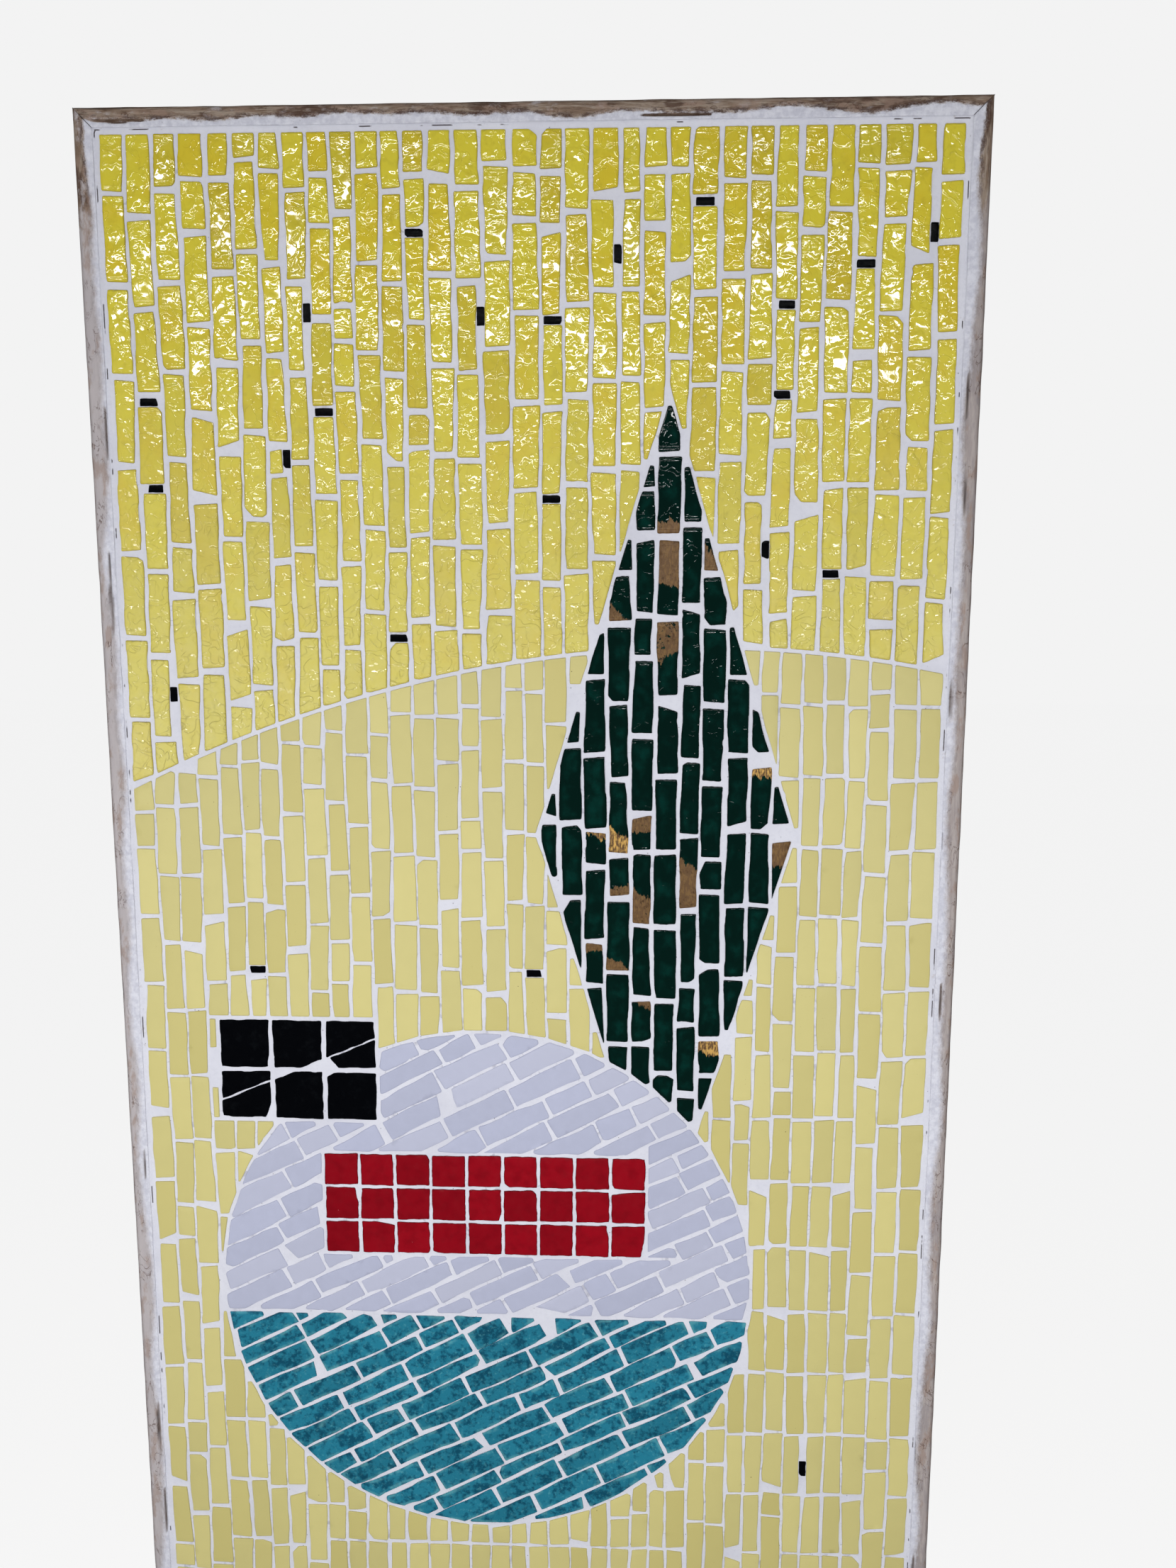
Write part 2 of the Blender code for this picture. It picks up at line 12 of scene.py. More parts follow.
import bpy
import numpy as np
from bpy.props import FloatProperty, FloatVectorProperty, IntProperty, PointerProperty
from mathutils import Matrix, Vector, noise
from mathutils.geometry import delaunay_2d_cdt
from mathutils.kdtree import KDTree


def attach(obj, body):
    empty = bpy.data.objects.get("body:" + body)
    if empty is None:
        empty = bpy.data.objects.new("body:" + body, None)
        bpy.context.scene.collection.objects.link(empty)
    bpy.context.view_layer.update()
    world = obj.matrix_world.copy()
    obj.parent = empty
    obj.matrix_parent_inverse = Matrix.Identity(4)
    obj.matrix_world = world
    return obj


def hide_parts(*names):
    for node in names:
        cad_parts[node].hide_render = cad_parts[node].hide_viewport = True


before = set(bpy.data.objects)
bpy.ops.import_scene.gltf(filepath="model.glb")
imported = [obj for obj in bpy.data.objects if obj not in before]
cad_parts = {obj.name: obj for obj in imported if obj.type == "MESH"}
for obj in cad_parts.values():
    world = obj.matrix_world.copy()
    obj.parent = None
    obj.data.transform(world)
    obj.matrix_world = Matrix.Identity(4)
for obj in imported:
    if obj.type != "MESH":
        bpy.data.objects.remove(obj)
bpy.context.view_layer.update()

bl_info = {
    "name": "Mosaic panel",
    "version": (1, 0, 0),
    "blender": (4, 5, 0),
    "location": "View3D > Sidebar > Mosaic",
    "description": "Hand-cut glazed tiles, grout and weathered rails for a wall panel",
    "category": "Object",
}

# Overall size and the wooden edging
PANEL_WIDTH = 0.500
PANEL_HEIGHT = 0.920
RAIL_WIDTH = 0.0120
RAIL_DEPTH = 0.0230
RAIL_OUTER_ROUND = 0.0040

# Layers between the wall and the face
BOARD_THICKNESS = 0.0155
BED_THICKNESS = 0.0055
TILE_PROUD = 0.0008
FIT_GAP = 0.0003

# The picture: a disc in two halves, with room left around it
DISC_LEFT_MARGIN = 0.043
DISC_RIGHT_MARGIN = 0.103
DISC_BOTTOM_MARGIN = 0.055
DISC_SIDES = 40
HORIZON_DROP = 0.020

# The line of a hill where the bright ground meets the pale one
HILL_ABOVE_DISC = 0.230
HILL_CREST_X = 0.100
HILL_RADIUS = 0.680

# A tall lozenge that stands behind the disc
LOZENGE_WIDTH = 0.150
LOZENGE_TOP_MARGIN = 0.140
LOZENGE_FOOT_ABOVE_CENTRE = 0.035
LOZENGE_SHARE_ACROSS = 0.66

# A bar of small squares on the disc, as many as fit between its sides
RED_TILE = 0.0200
RED_JOINT = 0.0021
RED_ROWS = 3
RED_ABOVE_HORIZON = 0.040
RED_SIDE_MARGIN = 0.038

# A block of larger squares over the disc's edge, split by one slanting crack
BLACK_TILE = 0.0295
BLACK_JOINT = 0.0030
BLACK_ROWS = 2
BLACK_COLUMNS = 3
BLACK_LEFT_MARGIN = 0.046
BLACK_ABOVE_CENTRE = 0.139
CRACK_SLOPE = 0.42
CRACK_JOINT = 0.0012

# Strips: their full length, the spacing of courses, the joint, and the way that courses run in degrees
BRIGHT_LENGTH = 0.0452
BRIGHT_PITCH = 0.0143
BRIGHT_JOINT = 0.0029
PALE_LENGTH = 0.0398
PALE_PITCH = 0.0128
PALE_JOINT = 0.0020
GREEN_LENGTH = 0.0420
GREEN_PITCH = 0.0138
GREEN_JOINT = 0.0029
WHITE_LENGTH = 0.0430
WHITE_PITCH = 0.0132
WHITE_JOINT = 0.0018
TEAL_LENGTH = 0.0430
TEAL_PITCH = 0.0128
TEAL_JOINT = 0.0022
UPRIGHT = 90.0
SLANT = 27.0

# Grout left between the tiles and the rails, and between one shape and the next
EDGE_GROUT = 0.0028
SHAPE_JOINT = 0.0022

# Small black slips in the joints of the two grounds
SLIP_LENGTH = 0.0092
SLIP_WIDTH = 0.0034
SLIP_JOINT = 0.0009
SLIPS_BRIGHT = 19
SLIPS_PALE = 3

# How unevenly the tiles are cut and set, as shares of the size that each one varies
COURSE_VARIATION = 0.13
COURSE_SWAY = (0.02, 0.06)
SWAY_WAVELENGTH = (0.12, 0.30)
CUT_FIRST_CHANCE = 0.55
CUT_FIRST_LENGTH = (0.35, 0.90)
SHORT_LENGTH = (0.30, 0.60)
LENGTH_LOSS = (0.985, 1.0)
JOINT_SPREAD = (0.8, 1.4)
SHORTEST_LENGTH = 0.18
LEAST_REMAINDER = 0.30
LAST_PIECES_FROM = 2.3
END_SKEW = 0.04
SIDE_TAPER = 0.11
SIDE_INSET = 0.30
SQUARE_OFFSET = 0.16
SLIP_LYING_CHANCE = 0.6
SLIP_STANDING_PLACE = (0.25, 0.75)
SLIP_SPACING = 3.5

# Seeds of the slips and of the squares
SLIP_SEED = 71
RED_SEED = 83
BLACK_SEED = 97

# What is too small to be a tile, or too small to be an overlap, and how finely a course is followed
SMALLEST_TILE_AREA = 0.000020
LEAST_OVERLAP = 1e-9
SAMPLE_STEP = 0.0015

# Where the layers and the field lie
BOARD_FRONT_Y = -BOARD_THICKNESS
BED_BACK_Y = BOARD_FRONT_Y - FIT_GAP
BED_FRONT_Y = BED_BACK_Y - BED_THICKNESS
FIELD_HALF_WIDTH = PANEL_WIDTH / 2 - RAIL_WIDTH - FIT_GAP
FIELD_HALF_HEIGHT = PANEL_HEIGHT / 2 - RAIL_WIDTH - FIT_GAP

# Flat geometry on the face: a point is (x, z), and an outline runs anticlockwise


def sides(outline):
    return zip(outline, outline[1:] + outline[:1])


def signed_area(outline):
    return 0.5 * sum(p[0] * q[1] - q[0] * p[1] for p, q in sides(outline))


def anticlockwise(outline):
    return outline if signed_area(outline) >= 0 else outline[::-1]


def side_of(point, start, end):
    """How far a point lies to the left of the line from start to end."""
    dx, dz = end[0] - start[0], end[1] - start[1]
    return (dx * (point[1] - start[1]) - dz * (point[0] - start[0])) / math.hypot(dx, dz)


def crossing(p, q, sp, sq):
    t = sp / (sp - sq)
    return (p[0] + t * (q[0] - p[0]), p[1] + t * (q[1] - p[1]))


def keep_left(outline, start, end):
    """The part of a convex outline to the left of a line."""
    kept = []
    for p, q in sides(outline):
        sp, sq = side_of(p, start, end), side_of(q, start, end)
        if sp >= 0:
            kept.append(p)
        if sp * sq < 0:
            kept.append(crossing(p, q, sp, sq))
    return kept if len(kept) > 2 else []


def inside_of(outline, shape):
    """The part of a convex outline that lies in a convex shape."""
    for start, end in sides(shape):
        if outline:
            outline = keep_left(outline, start, end)
    return outline


def area_of(outline):
    return signed_area(outline) if outline else 0.0


def largest_beyond(outline, shape):
    """The number of the side of a convex shape with most of an outline beyond it, and that part."""
    beyond = [keep_left(outline, end, start) if outline else [] for start, end in sides(shape)]
    number = max(range(len(beyond)), key=lambda n: area_of(beyond[n]))
    return number, beyond[number]


def outside_of(outline, shape, joint):
    """A tile cut straight along a convex shape, and a second piece where it reaches round a corner."""
    if area_of(inside_of(outline, shape)) < LEAST_OVERLAP:
        return [outline]
    number, main_piece = largest_beyond(outline, shape)
    start, end = list(sides(grown(shape, -joint)))[number]
    return [main_piece, largest_beyond(keep_left(outline, start, end), shape)[1]]


def grown(shape, by):
    """A convex outline with every side moved outwards, or inwards where by is negative."""
    moved = []
    for start, end in sides(shape):
        length = math.dist(start, end)
        ox, oz = (end[1] - start[1]) / length * by, (start[0] - end[0]) / length * by
        moved.append(((start[0] + ox, start[1] + oz), (end[0] + ox, end[1] + oz)))
    corners = []
    for (p, q), (start, end) in zip(moved[-1:] + moved[:-1], moved):
        corners.append(crossing(p, q, side_of(p, start, end), side_of(q, start, end)))
    return corners


def box_of(outline):
    xs, zs = zip(*outline)
    return min(xs), min(zs), max(xs), max(zs)


def contains(shape, point):
    return all(side_of(point, start, end) >= 0 for start, end in sides(shape))


def rectangle(x, z, width, height):
    left, right = x - width / 2, x + width / 2
    low, high = z - height / 2, z + height / 2
    return [(left, low), (right, low), (right, high), (left, high)]


# The shapes of the picture

FIELD = rectangle(0, 0, 2 * FIELD_HALF_WIDTH, 2 * FIELD_HALF_HEIGHT)
DISC_RADIUS = FIELD_HALF_WIDTH - (DISC_LEFT_MARGIN + DISC_RIGHT_MARGIN) / 2
DISC_X = (DISC_LEFT_MARGIN - DISC_RIGHT_MARGIN) / 2
DISC_Z = -FIELD_HALF_HEIGHT + DISC_BOTTOM_MARGIN + DISC_RADIUS
HORIZON_Z = DISC_Z - HORIZON_DROP
HILL_CREST_Z = DISC_Z + DISC_RADIUS + HILL_ABOVE_DISC
RED_PITCH = RED_TILE + RED_JOINT
RED_Z = HORIZON_Z + RED_ABOVE_HORIZON + RED_ROWS * RED_PITCH / 2
BLACK_PITCH = BLACK_TILE + BLACK_JOINT
BLACK_X = -FIELD_HALF_WIDTH + BLACK_LEFT_MARGIN + BLACK_COLUMNS * BLACK_PITCH / 2
BLACK_Z = DISC_Z + BLACK_ABOVE_CENTRE


def red_columns():
    """How many small squares fit across the disc at the height of the bar's upper edge."""
    rise = RED_Z + RED_ROWS * RED_PITCH / 2 - DISC_Z
    room = 2 * math.sqrt(max(DISC_RADIUS**2 - rise**2, 0.0)) - 2 * RED_SIDE_MARGIN
    return max(1, int(room / RED_PITCH))


def disc_outline():
    turns = [2 * math.pi * (n + 0.5) / DISC_SIDES for n in range(DISC_SIDES)]
    return [(DISC_X + DISC_RADIUS * math.cos(t), DISC_Z + DISC_RADIUS * math.sin(t)) for t in turns]


def lozenge_outline():
    top = FIELD_HALF_HEIGHT - LOZENGE_TOP_MARGIN
    foot = DISC_Z + LOZENGE_FOOT_ABOVE_CENTRE
    x = DISC_X + LOZENGE_SHARE_ACROSS * DISC_RADIUS
    middle = (top + foot) / 2
    return [(x, foot), (x + LOZENGE_WIDTH / 2, middle), (x, top), (x - LOZENGE_WIDTH / 2, middle)]


def hill_height(x):
    return HILL_CREST_Z - (x - HILL_CREST_X) ** 2 / (2 * HILL_RADIUS)


RED_COLUMNS = red_columns()
DISC = disc_outline()

# Front shapes come first, and each one hides what lies after it
SHAPES = {
    "red": rectangle(DISC_X, RED_Z, RED_COLUMNS * RED_PITCH, RED_ROWS * RED_PITCH),
    "black": rectangle(BLACK_X, BLACK_Z, BLACK_COLUMNS * BLACK_PITCH, BLACK_ROWS * BLACK_PITCH),
    "white": keep_left(DISC, (0, HORIZON_Z), (1, HORIZON_Z)),
    "teal": keep_left(DISC, (1, HORIZON_Z), (0, HORIZON_Z)),
    "green": lozenge_outline(),
}
BOXES = {name: box_of(shape) for name, shape in SHAPES.items()}

# Strip length, course spacing, joint, the way of a course, the share of short pieces and a seed
STRIPS = {
    "bright": (BRIGHT_LENGTH, BRIGHT_PITCH, BRIGHT_JOINT, UPRIGHT, 0.10, 11),
    "pale": (PALE_LENGTH, PALE_PITCH, PALE_JOINT, UPRIGHT, 0.07, 23),
    "green": (GREEN_LENGTH, GREEN_PITCH, GREEN_JOINT, UPRIGHT, 0.12, 35),
    "white": (WHITE_LENGTH, WHITE_PITCH, WHITE_JOINT, SLANT, 0.14, 47),
    "teal": (TEAL_LENGTH, TEAL_PITCH, TEAL_JOINT, SLANT, 0.14, 59),
}


def zone_at(point):
    """The zone that shows at a point of the face."""
    x, z = point
    for name, (left, low, right, high) in BOXES.items():
        if left <= x <= right and low <= z <= high and contains(SHAPES[name], point):
            return name
    if abs(x) > FIELD_HALF_WIDTH or abs(z) > FIELD_HALF_HEIGHT:
        return None
    return "bright" if z > hill_height(x) else "pale"


def front_shapes(zone):
    """The outlines that lie in front of a zone."""
    names = list(SHAPES)
    in_front = names[: names.index(zone)] if zone in SHAPES else names
    return [SHAPES[name] for name in in_front if {name, zone} != {"white", "teal"}]


# Laying the tiles: a tile here is its outline


def course_edges(low, high, pitch, rng):
    """Unevenly spaced lines between courses, each as its place, sway, wavelength and phase."""
    count = max(1, round((high - low) / pitch))
    widths = [1 + rng.uniform(-COURSE_VARIATION, COURSE_VARIATION) for _ in range(count)]
    places = [low]
    for width in widths:
        places.append(places[-1] + width * (high - low) / sum(widths))
    edges = []
    for place in places:
        sway = rng.uniform(*COURSE_SWAY) * pitch
        edges.append((place, sway, rng.uniform(*SWAY_WAVELENGTH), rng.uniform(0, 2 * math.pi)))
    return edges


def edge_at(edge, along):
    place, sway, wavelength, phase = edge
    return place + sway * math.sin(2 * math.pi * along / wavelength + phase)


def runs_in_zone(zone, place_of, low, high):
    """Stretches of a line that lie in a zone, as (start, end)."""
    runs, start = [], None
    steps = int((high - low) / SAMPLE_STEP) + 2
    for n in range(steps + 1):
        along = low + n * SAMPLE_STEP
        here = n < steps and zone_at(place_of(along)) == zone
        if here and start is None:
            start = along
        if not here and start is not None:
            runs.append((start, along))
            start = None
    return runs


def widened(run, side_runs, most):
    """A course's stretch, lengthened to where its two sides enter and leave the zone."""
    start, end = run
    for low, high in side_runs:
        if low < run[1] and high > run[0]:
            start, end = min(start, low), max(end, high)
    return max(start, run[0] - most), min(end, run[1] + most)


def split_course(start, end, length, joint, short_share, rng):
    """The strips along one stretch, as (start, end): whole ones, with a cut one at each end."""
    pieces, at = [], start
    first = length * (rng.uniform(*CUT_FIRST_LENGTH) if rng.random() < CUT_FIRST_CHANCE else 1)
    while end - at > LAST_PIECES_FROM * length:
        piece = length if pieces else first
        if pieces and rng.random() < short_share:
            piece = length * rng.uniform(*SHORT_LENGTH)
        pieces.append((at, at + piece * rng.uniform(*LENGTH_LOSS)))
        at = pieces[-1][1] + joint * rng.uniform(*JOINT_SPREAD)
    while end - at > SHORTEST_LENGTH * length:
        left = end - at
        if left <= length:
            piece = left
        elif left - length - joint >= LEAST_REMAINDER * length:
            piece = length
        else:
            piece = (left - joint) / 2
        pieces.append((at, at + piece))
        at += piece + joint * rng.uniform(*JOINT_SPREAD)
    return pieces


def strip_corners(low, high, first_edge, next_edge, joint, pitch, rng):
    """Corners of a hand-cut strip, as (along, across): its sides taper and its ends are a little askew."""
    skew = rng.uniform(-END_SKEW, END_SKEW) * pitch
    corners = []
    for along, edge, inward in (
        (low, first_edge, 1),
        (low, next_edge, -1),
        (high, next_edge, -1),
        (high, first_edge, 1),
    ):
        inset = joint * SIDE_INSET + rng.random() ** 2 * SIDE_TAPER * pitch
        corners.append((along + skew * inward, edge_at(edge, along) + inward * inset))
    return corners


def trim_at_hill(zone, outline):
    """A ground's tile cut along the hill line, half a joint short of it."""
    middle = sum(corner[0] for corner in outline) / len(outline)
    slope = (HILL_CREST_X - middle) / HILL_RADIUS
    lift = SHAPE_JOINT / 2 * math.hypot(1, slope) * (1 if zone == "bright" else -1)
    start = (middle, hill_height(middle) + lift)
    end = (middle + 1, start[1] + slope)
    return keep_left(outline, start, end) if zone == "bright" else keep_left(outline, end, start)


def trim_tile(zone, outline):
    """The pieces of a tile cut back from the rails, its zone's edge and the shapes in front of it."""
    outline = inside_of(outline, grown(FIELD, -EDGE_GROUT))
    if outline and zone in SHAPES:
        outline = inside_of(outline, grown(SHAPES[zone], -SHAPE_JOINT / 2))
    elif outline:
        outline = trim_at_hill(zone, outline)
    pieces = [outline]
    for shape in front_shapes(zone):
        edge = grown(shape, SHAPE_JOINT / 2)
        pieces = [cut for piece in pieces if piece for cut in outside_of(piece, edge, SHAPE_JOINT)]
    return [piece for piece in pieces if area_of(piece) > SMALLEST_TILE_AREA]


def lay_strips(zone):
    """The strips of one zone, laid in courses from edge to edge and trimmed."""
    length, pitch, joint, direction, short_share, seed = STRIPS[zone]
    rng = random.Random(seed)
    turn = math.radians(direction)
    cos, sin = math.cos(turn), math.sin(turn)
    corners = SHAPES.get(zone, FIELD)
    alongs = [x * cos + z * sin for x, z in corners]
    acrosses = [z * cos - x * sin for x, z in corners]
    inset = EDGE_GROUT - joint / 2 if zone not in SHAPES else 0.0
    edges = course_edges(min(acrosses) + inset, max(acrosses) - inset, pitch, rng)
    ends = (min(alongs), max(alongs))

    def on_face(along, across):
        return (along * cos - across * sin, along * sin + across * cos)

    tiles = []
    for one, two in zip(edges, edges[1:]):
        runs = {}
        for share in (0.15, 0.5, 0.85):

            def place(along, share=share):
                across = edge_at(one, along) * (1 - share) + edge_at(two, along) * share
                return on_face(along, across)

            runs[share] = runs_in_zone(zone, place, *ends)
        for run in runs[0.5]:
            start, end = widened(run, runs[0.15] + runs[0.85], 1.5 * pitch)
            for low, high in split_course(start, end, length, joint, short_share, rng):
                strip = strip_corners(low, high, one, two, joint, pitch, rng)
                tiles += trim_tile(zone, anticlockwise([on_face(*corner) for corner in strip]))
    return tiles


def lay_squares(x, z, columns, rows, tile, joint, seed):
    """A block of square tiles, each corner a little off true."""
    rng = random.Random(seed)
    off = SQUARE_OFFSET * joint
    tiles = []
    for row in range(rows):
        for column in range(columns):
            middle_x = x + (column - (columns - 1) / 2) * (tile + joint)
            middle_z = z + (row - (rows - 1) / 2) * (tile + joint)
            square = rectangle(middle_x, middle_z, tile, tile)
            tiles.append([(c[0] + rng.uniform(-off, off), c[1] + rng.uniform(-off, off)) for c in square])
    return tiles


def cracked(tiles, x, z):
    """Tiles split where one slanting crack through a point crosses them."""
    lift = CRACK_JOINT / 2 * math.hypot(1, CRACK_SLOPE)
    above = ((x, z + lift), (x + 1, z + lift + CRACK_SLOPE))
    below = ((x + 1, z - lift + CRACK_SLOPE), (x, z - lift))
    pieces = [keep_left(tile, *cut) for tile in tiles for cut in (above, below)]
    return [piece for piece in pieces if area_of(piece) > SMALLEST_TILE_AREA]


def place_slips(zone, tiles, count, rng):
    """Outlines of small slips: some lie on the upper end of a strip, and some stand at its side."""
    slips = []
    order = list(range(len(tiles)))
    rng.shuffle(order)
    for number in order:
        left, low, right, high = box_of(tiles[number])
        if rng.random() < SLIP_LYING_CHANCE:
            slip = rectangle((left + right) / 2, high, SLIP_LENGTH, SLIP_WIDTH)
        else:
            z = low + rng.uniform(*SLIP_STANDING_PLACE) * (high - low)
            slip = rectangle(right, z, SLIP_WIDTH, SLIP_LENGTH)
        apart = all(math.dist(slip[0], other[0]) > SLIP_SPACING * SLIP_LENGTH for other in slips)
        if apart and all(zone_at(corner) == zone for corner in grown(slip, SLIP_LENGTH)):
            slips.append(slip)
        if len(slips) == count:
            break
    return slips


def trimmed_by_slips(tiles, slips):
    trimmed = []
    for outline in tiles:
        for slip in slips:
            edge = grown(slip, SLIP_JOINT)
            if area_of(inside_of(outline, edge)) > LEAST_OVERLAP:
                outline = largest_beyond(outline, edge)[1]
        trimmed.append(outline)
    return [outline for outline in trimmed if area_of(outline) > SMALLEST_TILE_AREA]


def lay_all():
    """Every zone's tiles by zone name, and the outlines of the slips."""
    laid = {zone: lay_strips(zone) for zone in STRIPS}
    rng = random.Random(SLIP_SEED)
    slips = []
    for zone, count in (("bright", SLIPS_BRIGHT), ("pale", SLIPS_PALE)):
        placed = place_slips(zone, laid[zone], count, rng)
        laid[zone] = trimmed_by_slips(laid[zone], placed)
        slips += placed
    laid["red"] = lay_squares(DISC_X, RED_Z, RED_COLUMNS, RED_ROWS, RED_TILE, RED_JOINT, RED_SEED)
    blocks = lay_squares(
        BLACK_X, BLACK_Z, BLACK_COLUMNS, BLACK_ROWS, BLACK_TILE, BLACK_JOINT, BLACK_SEED
    )
    laid["black"] = cracked(blocks, BLACK_X, BLACK_Z)
    return laid, slips


# Settings


def tint(red, green, blue):
    """A colour given as it shows on screen, 0 to 255, turned into the linear one that shaders use."""
    shares = [level / 255 for level in (red, green, blue)]
    return tuple(c / 12.92 if c <= 10 / 255 else ((c + 0.055) / 1.055) ** 2.4 for c in shares)


def colour(name, description, red, green, blue):
    default = tint(red, green, blue)
    return FloatVectorProperty(
        name=name, description=description, default=default, size=3, min=0.0, max=1.0, subtype="COLOR"
    )


def length(name, description, default):
    return FloatProperty(
        name=name, description=description, default=default, min=0.0, precision=5,
        subtype="DISTANCE", unit="LENGTH",
    )


def share(name, description, most):
    return FloatProperty(name=name, description=description, default=1.0, min=0.0, max=most)


def power(name, description, default):
    return FloatProperty(name=name, description=description, default=default, min=0.0, unit="POWER")


class MosaicGlazes(bpy.types.PropertyGroup):
    """Colours of the glazes."""

    lemon: colour("Lemon", "Main colour of the bright yellow glaze", 227, 212, 67)
    golden: colour("Golden", "Warmer colour of the bright yellow glaze", 225, 200, 54)
    olive: colour("Olive", "Duller colour of the bright yellow glaze, and of its rims", 176, 160, 52)
    straw: colour("Straw", "Colour of the pale yellow glaze", 216, 206, 138)
    green: colour("Dark green", "Colour of the green glaze where it is thick", 2, 26, 21)
    emerald: colour("Emerald", "Colour of the green glaze where it is thin", 6, 60, 52)
    bronze: colour("Bronze", "Colour of the leaf on some green tiles", 112, 84, 56)
    lilac: colour("Lilac white", "Colour of the lilac-white glaze", 184, 188, 211)
    teal: colour("Teal", "Colour of the teal glaze", 36, 124, 149)
    deep_teal: colour("Deep teal", "Colour of the teal glaze where it is thick", 3, 72, 98)
    red: colour("Deep red", "Colour of the red glaze", 150, 9, 26)
    black: colour("Black", "Colour of the black glaze", 5, 6, 9)


class MosaicTiles(bpy.types.PropertyGroup):
    """How the tiles are cut and set."""

    proud: length("Stands proud", "How far a bright tile's face stands in front of its grout", TILE_PROUD)
    waviness: share("Waviness", "How wavy the long sides are", 1.5)
    ripple: share("Ripple", "How much the glaze ripples", 3.0)
    seed: IntProperty(name="Seed", description="Seed of the cuts, nips and tones", default=5, min=0)


class MosaicGrout(bpy.types.PropertyGroup):
    """The grout between the tiles."""

    pale: colour("Grout", "Colour of clean grout", 228, 229, 239)
    cool: colour("Cool grout", "Colour of the grout where it is a little dirty", 204, 205, 218)
    hollow: length("Hollow", "How deep the grout lies between two tiles", 0.00022)
    grid: length("Grid", "Spacing of points in the grout's surface", 0.0016)


class MosaicRails(bpy.types.PropertyGroup):
    """The weathered wooden rails."""

    brown: colour("Brown", "Main colour of the weathered wood", 134, 114, 98)
    dark: colour("Dark", "Colour in the wood's cracks and knots", 66, 47, 40)
    grey: colour("Grey", "Colour of the wood where it is bleached", 170, 156, 142)
    wash: colour("Wash", "Colour of the thin film of grout on the wood", 196, 190, 193)
    grid: length("Grid", "Spacing of points along a rail", 0.0012)
    relief: length("Relief", "Depth of the wood's grain", 0.00018)


class MosaicStage(bpy.types.PropertyGroup):
    """Floor, light and camera."""

    backdrop: colour("Backdrop", "Colour of the room around the panel", 243, 243, 243)
    drop: length("Drop", "How far the floor lies under the panel's middle", 0.75)
    floor_glow: FloatProperty(
        name="Floor glow", description="Light that the floor gives of its own", default=0.866, min=0.0
    )
    lamp_power: power("Lamp power", "Power of the long soft lamp", 5.8)
    lamp_height: length("Lamp height", "Height of the long soft lamp", 0.74)
    back_power: power("Back lamp power", "Power of the lamp behind the panel", 4.0)
    fill_power: power("Fill power", "Power of the soft light near the face", 6.5)
    lens: FloatProperty(name="Lens", description="Focal length", default=27.03, min=1.0, unit="CAMERA")


# Cutting: an outline here is an array with one row (x, z) for each point


def ways_in(points):
    """Unit vectors at each point of an anticlockwise outline that point into it."""
    along = np.roll(points, -1, axis=0) - np.roll(points, 1, axis=0)
    inward = np.column_stack((-along[:, 1], along[:, 0]))
    return inward / np.maximum(np.linalg.norm(inward, axis=1), 1e-9)[:, None]


def evenly_spaced(points, spacing):
    """A closed outline with its points the same distance apart."""
    closed = np.vstack((points, points[:1]))
    places = np.concatenate(([0.0], np.cumsum(np.linalg.norm(np.diff(closed, axis=0), axis=1))))
    count = max(FEWEST_POINTS, round(places[-1] / spacing))
    wanted = np.arange(count) * places[-1] / count
    return np.column_stack((np.interp(wanted, places, closed[:, 0]), np.interp(wanted, places, closed[:, 1])))


def closer_at_turns(points, spacing):
    """A closed outline with its points a spacing apart on straight runs, and closer together at its turns."""
    ahead = np.roll(points, -1, axis=0) - points
    way = np.arctan2(ahead[:, 1], ahead[:, 0])
    turn = np.abs((way - np.roll(way, 1) + math.pi) % (2 * math.pi) - math.pi)
    span = np.linalg.norm(ahead, axis=1)
    need = np.minimum(span / spacing + 0.5 * (turn + np.roll(turn, -1)) / TURN_STEP, span / CLOSEST_SPACING)
    places = np.concatenate(([0.0], np.cumsum(need)))
    count = max(FEWEST_POINTS, round(places[-1]))
    wanted = np.arange(count) * places[-1] / count
    closed = np.vstack((points, points[:1]))
    return np.column_stack((np.interp(wanted, places, closed[:, 0]), np.interp(wanted, places, closed[:, 1])))


def rounded(points, radius, perimeter):
    """A closed outline with its turns smoothed over about a radius."""
    waves = np.fft.fft(points[:, 0] + 1j * points[:, 1])
    turns = np.fft.fftfreq(len(points), 1 / len(points))
    smooth = np.fft.ifft(waves * np.exp(-0.5 * (2 * math.pi * turns * radius / perimeter) ** 2))
    return np.column_stack((smooth.real, smooth.imag))


def closed_wave(places, perimeter, shortest, longest, rng):
    """A smooth random wave around an outline, mostly between -1 and 1."""
    low = max(1, round(perimeter / longest))
    high = max(low + 1, round(perimeter / shortest))
    total = np.zeros(len(places))
    for mode in range(low, high + 1):
        total += rng.gauss(0, 1) * np.sin(2 * math.pi * (mode * places / perimeter + rng.random()))
    return total / math.sqrt(2 * (high - low + 1))


def blunted(outline):
    """An outline without the thin points that would snap off."""
    befores, afters = outline[-1:] + outline[:-1], outline[1:] + outline[:1]
    for number, corner in enumerate(list(outline)):
        before, after = befores[number], afters[number]
        one = Vector((before[0] - corner[0], before[1] - corner[1])).normalized()
        two = Vector((after[0] - corner[0], after[1] - corner[1])).normalized()
        if one.dot(two) > SHARP_COSINE:
            way = (one + two).normalized()
            depth = 0.5 * TIP_BREADTH / math.tan(0.5 * one.angle(two))
            start = (corner[0] + way.x * depth, corner[1] + way.y * depth)
            outline = keep_left(outline, start, (start[0] + way.y, start[1] - way.x))
    return outline


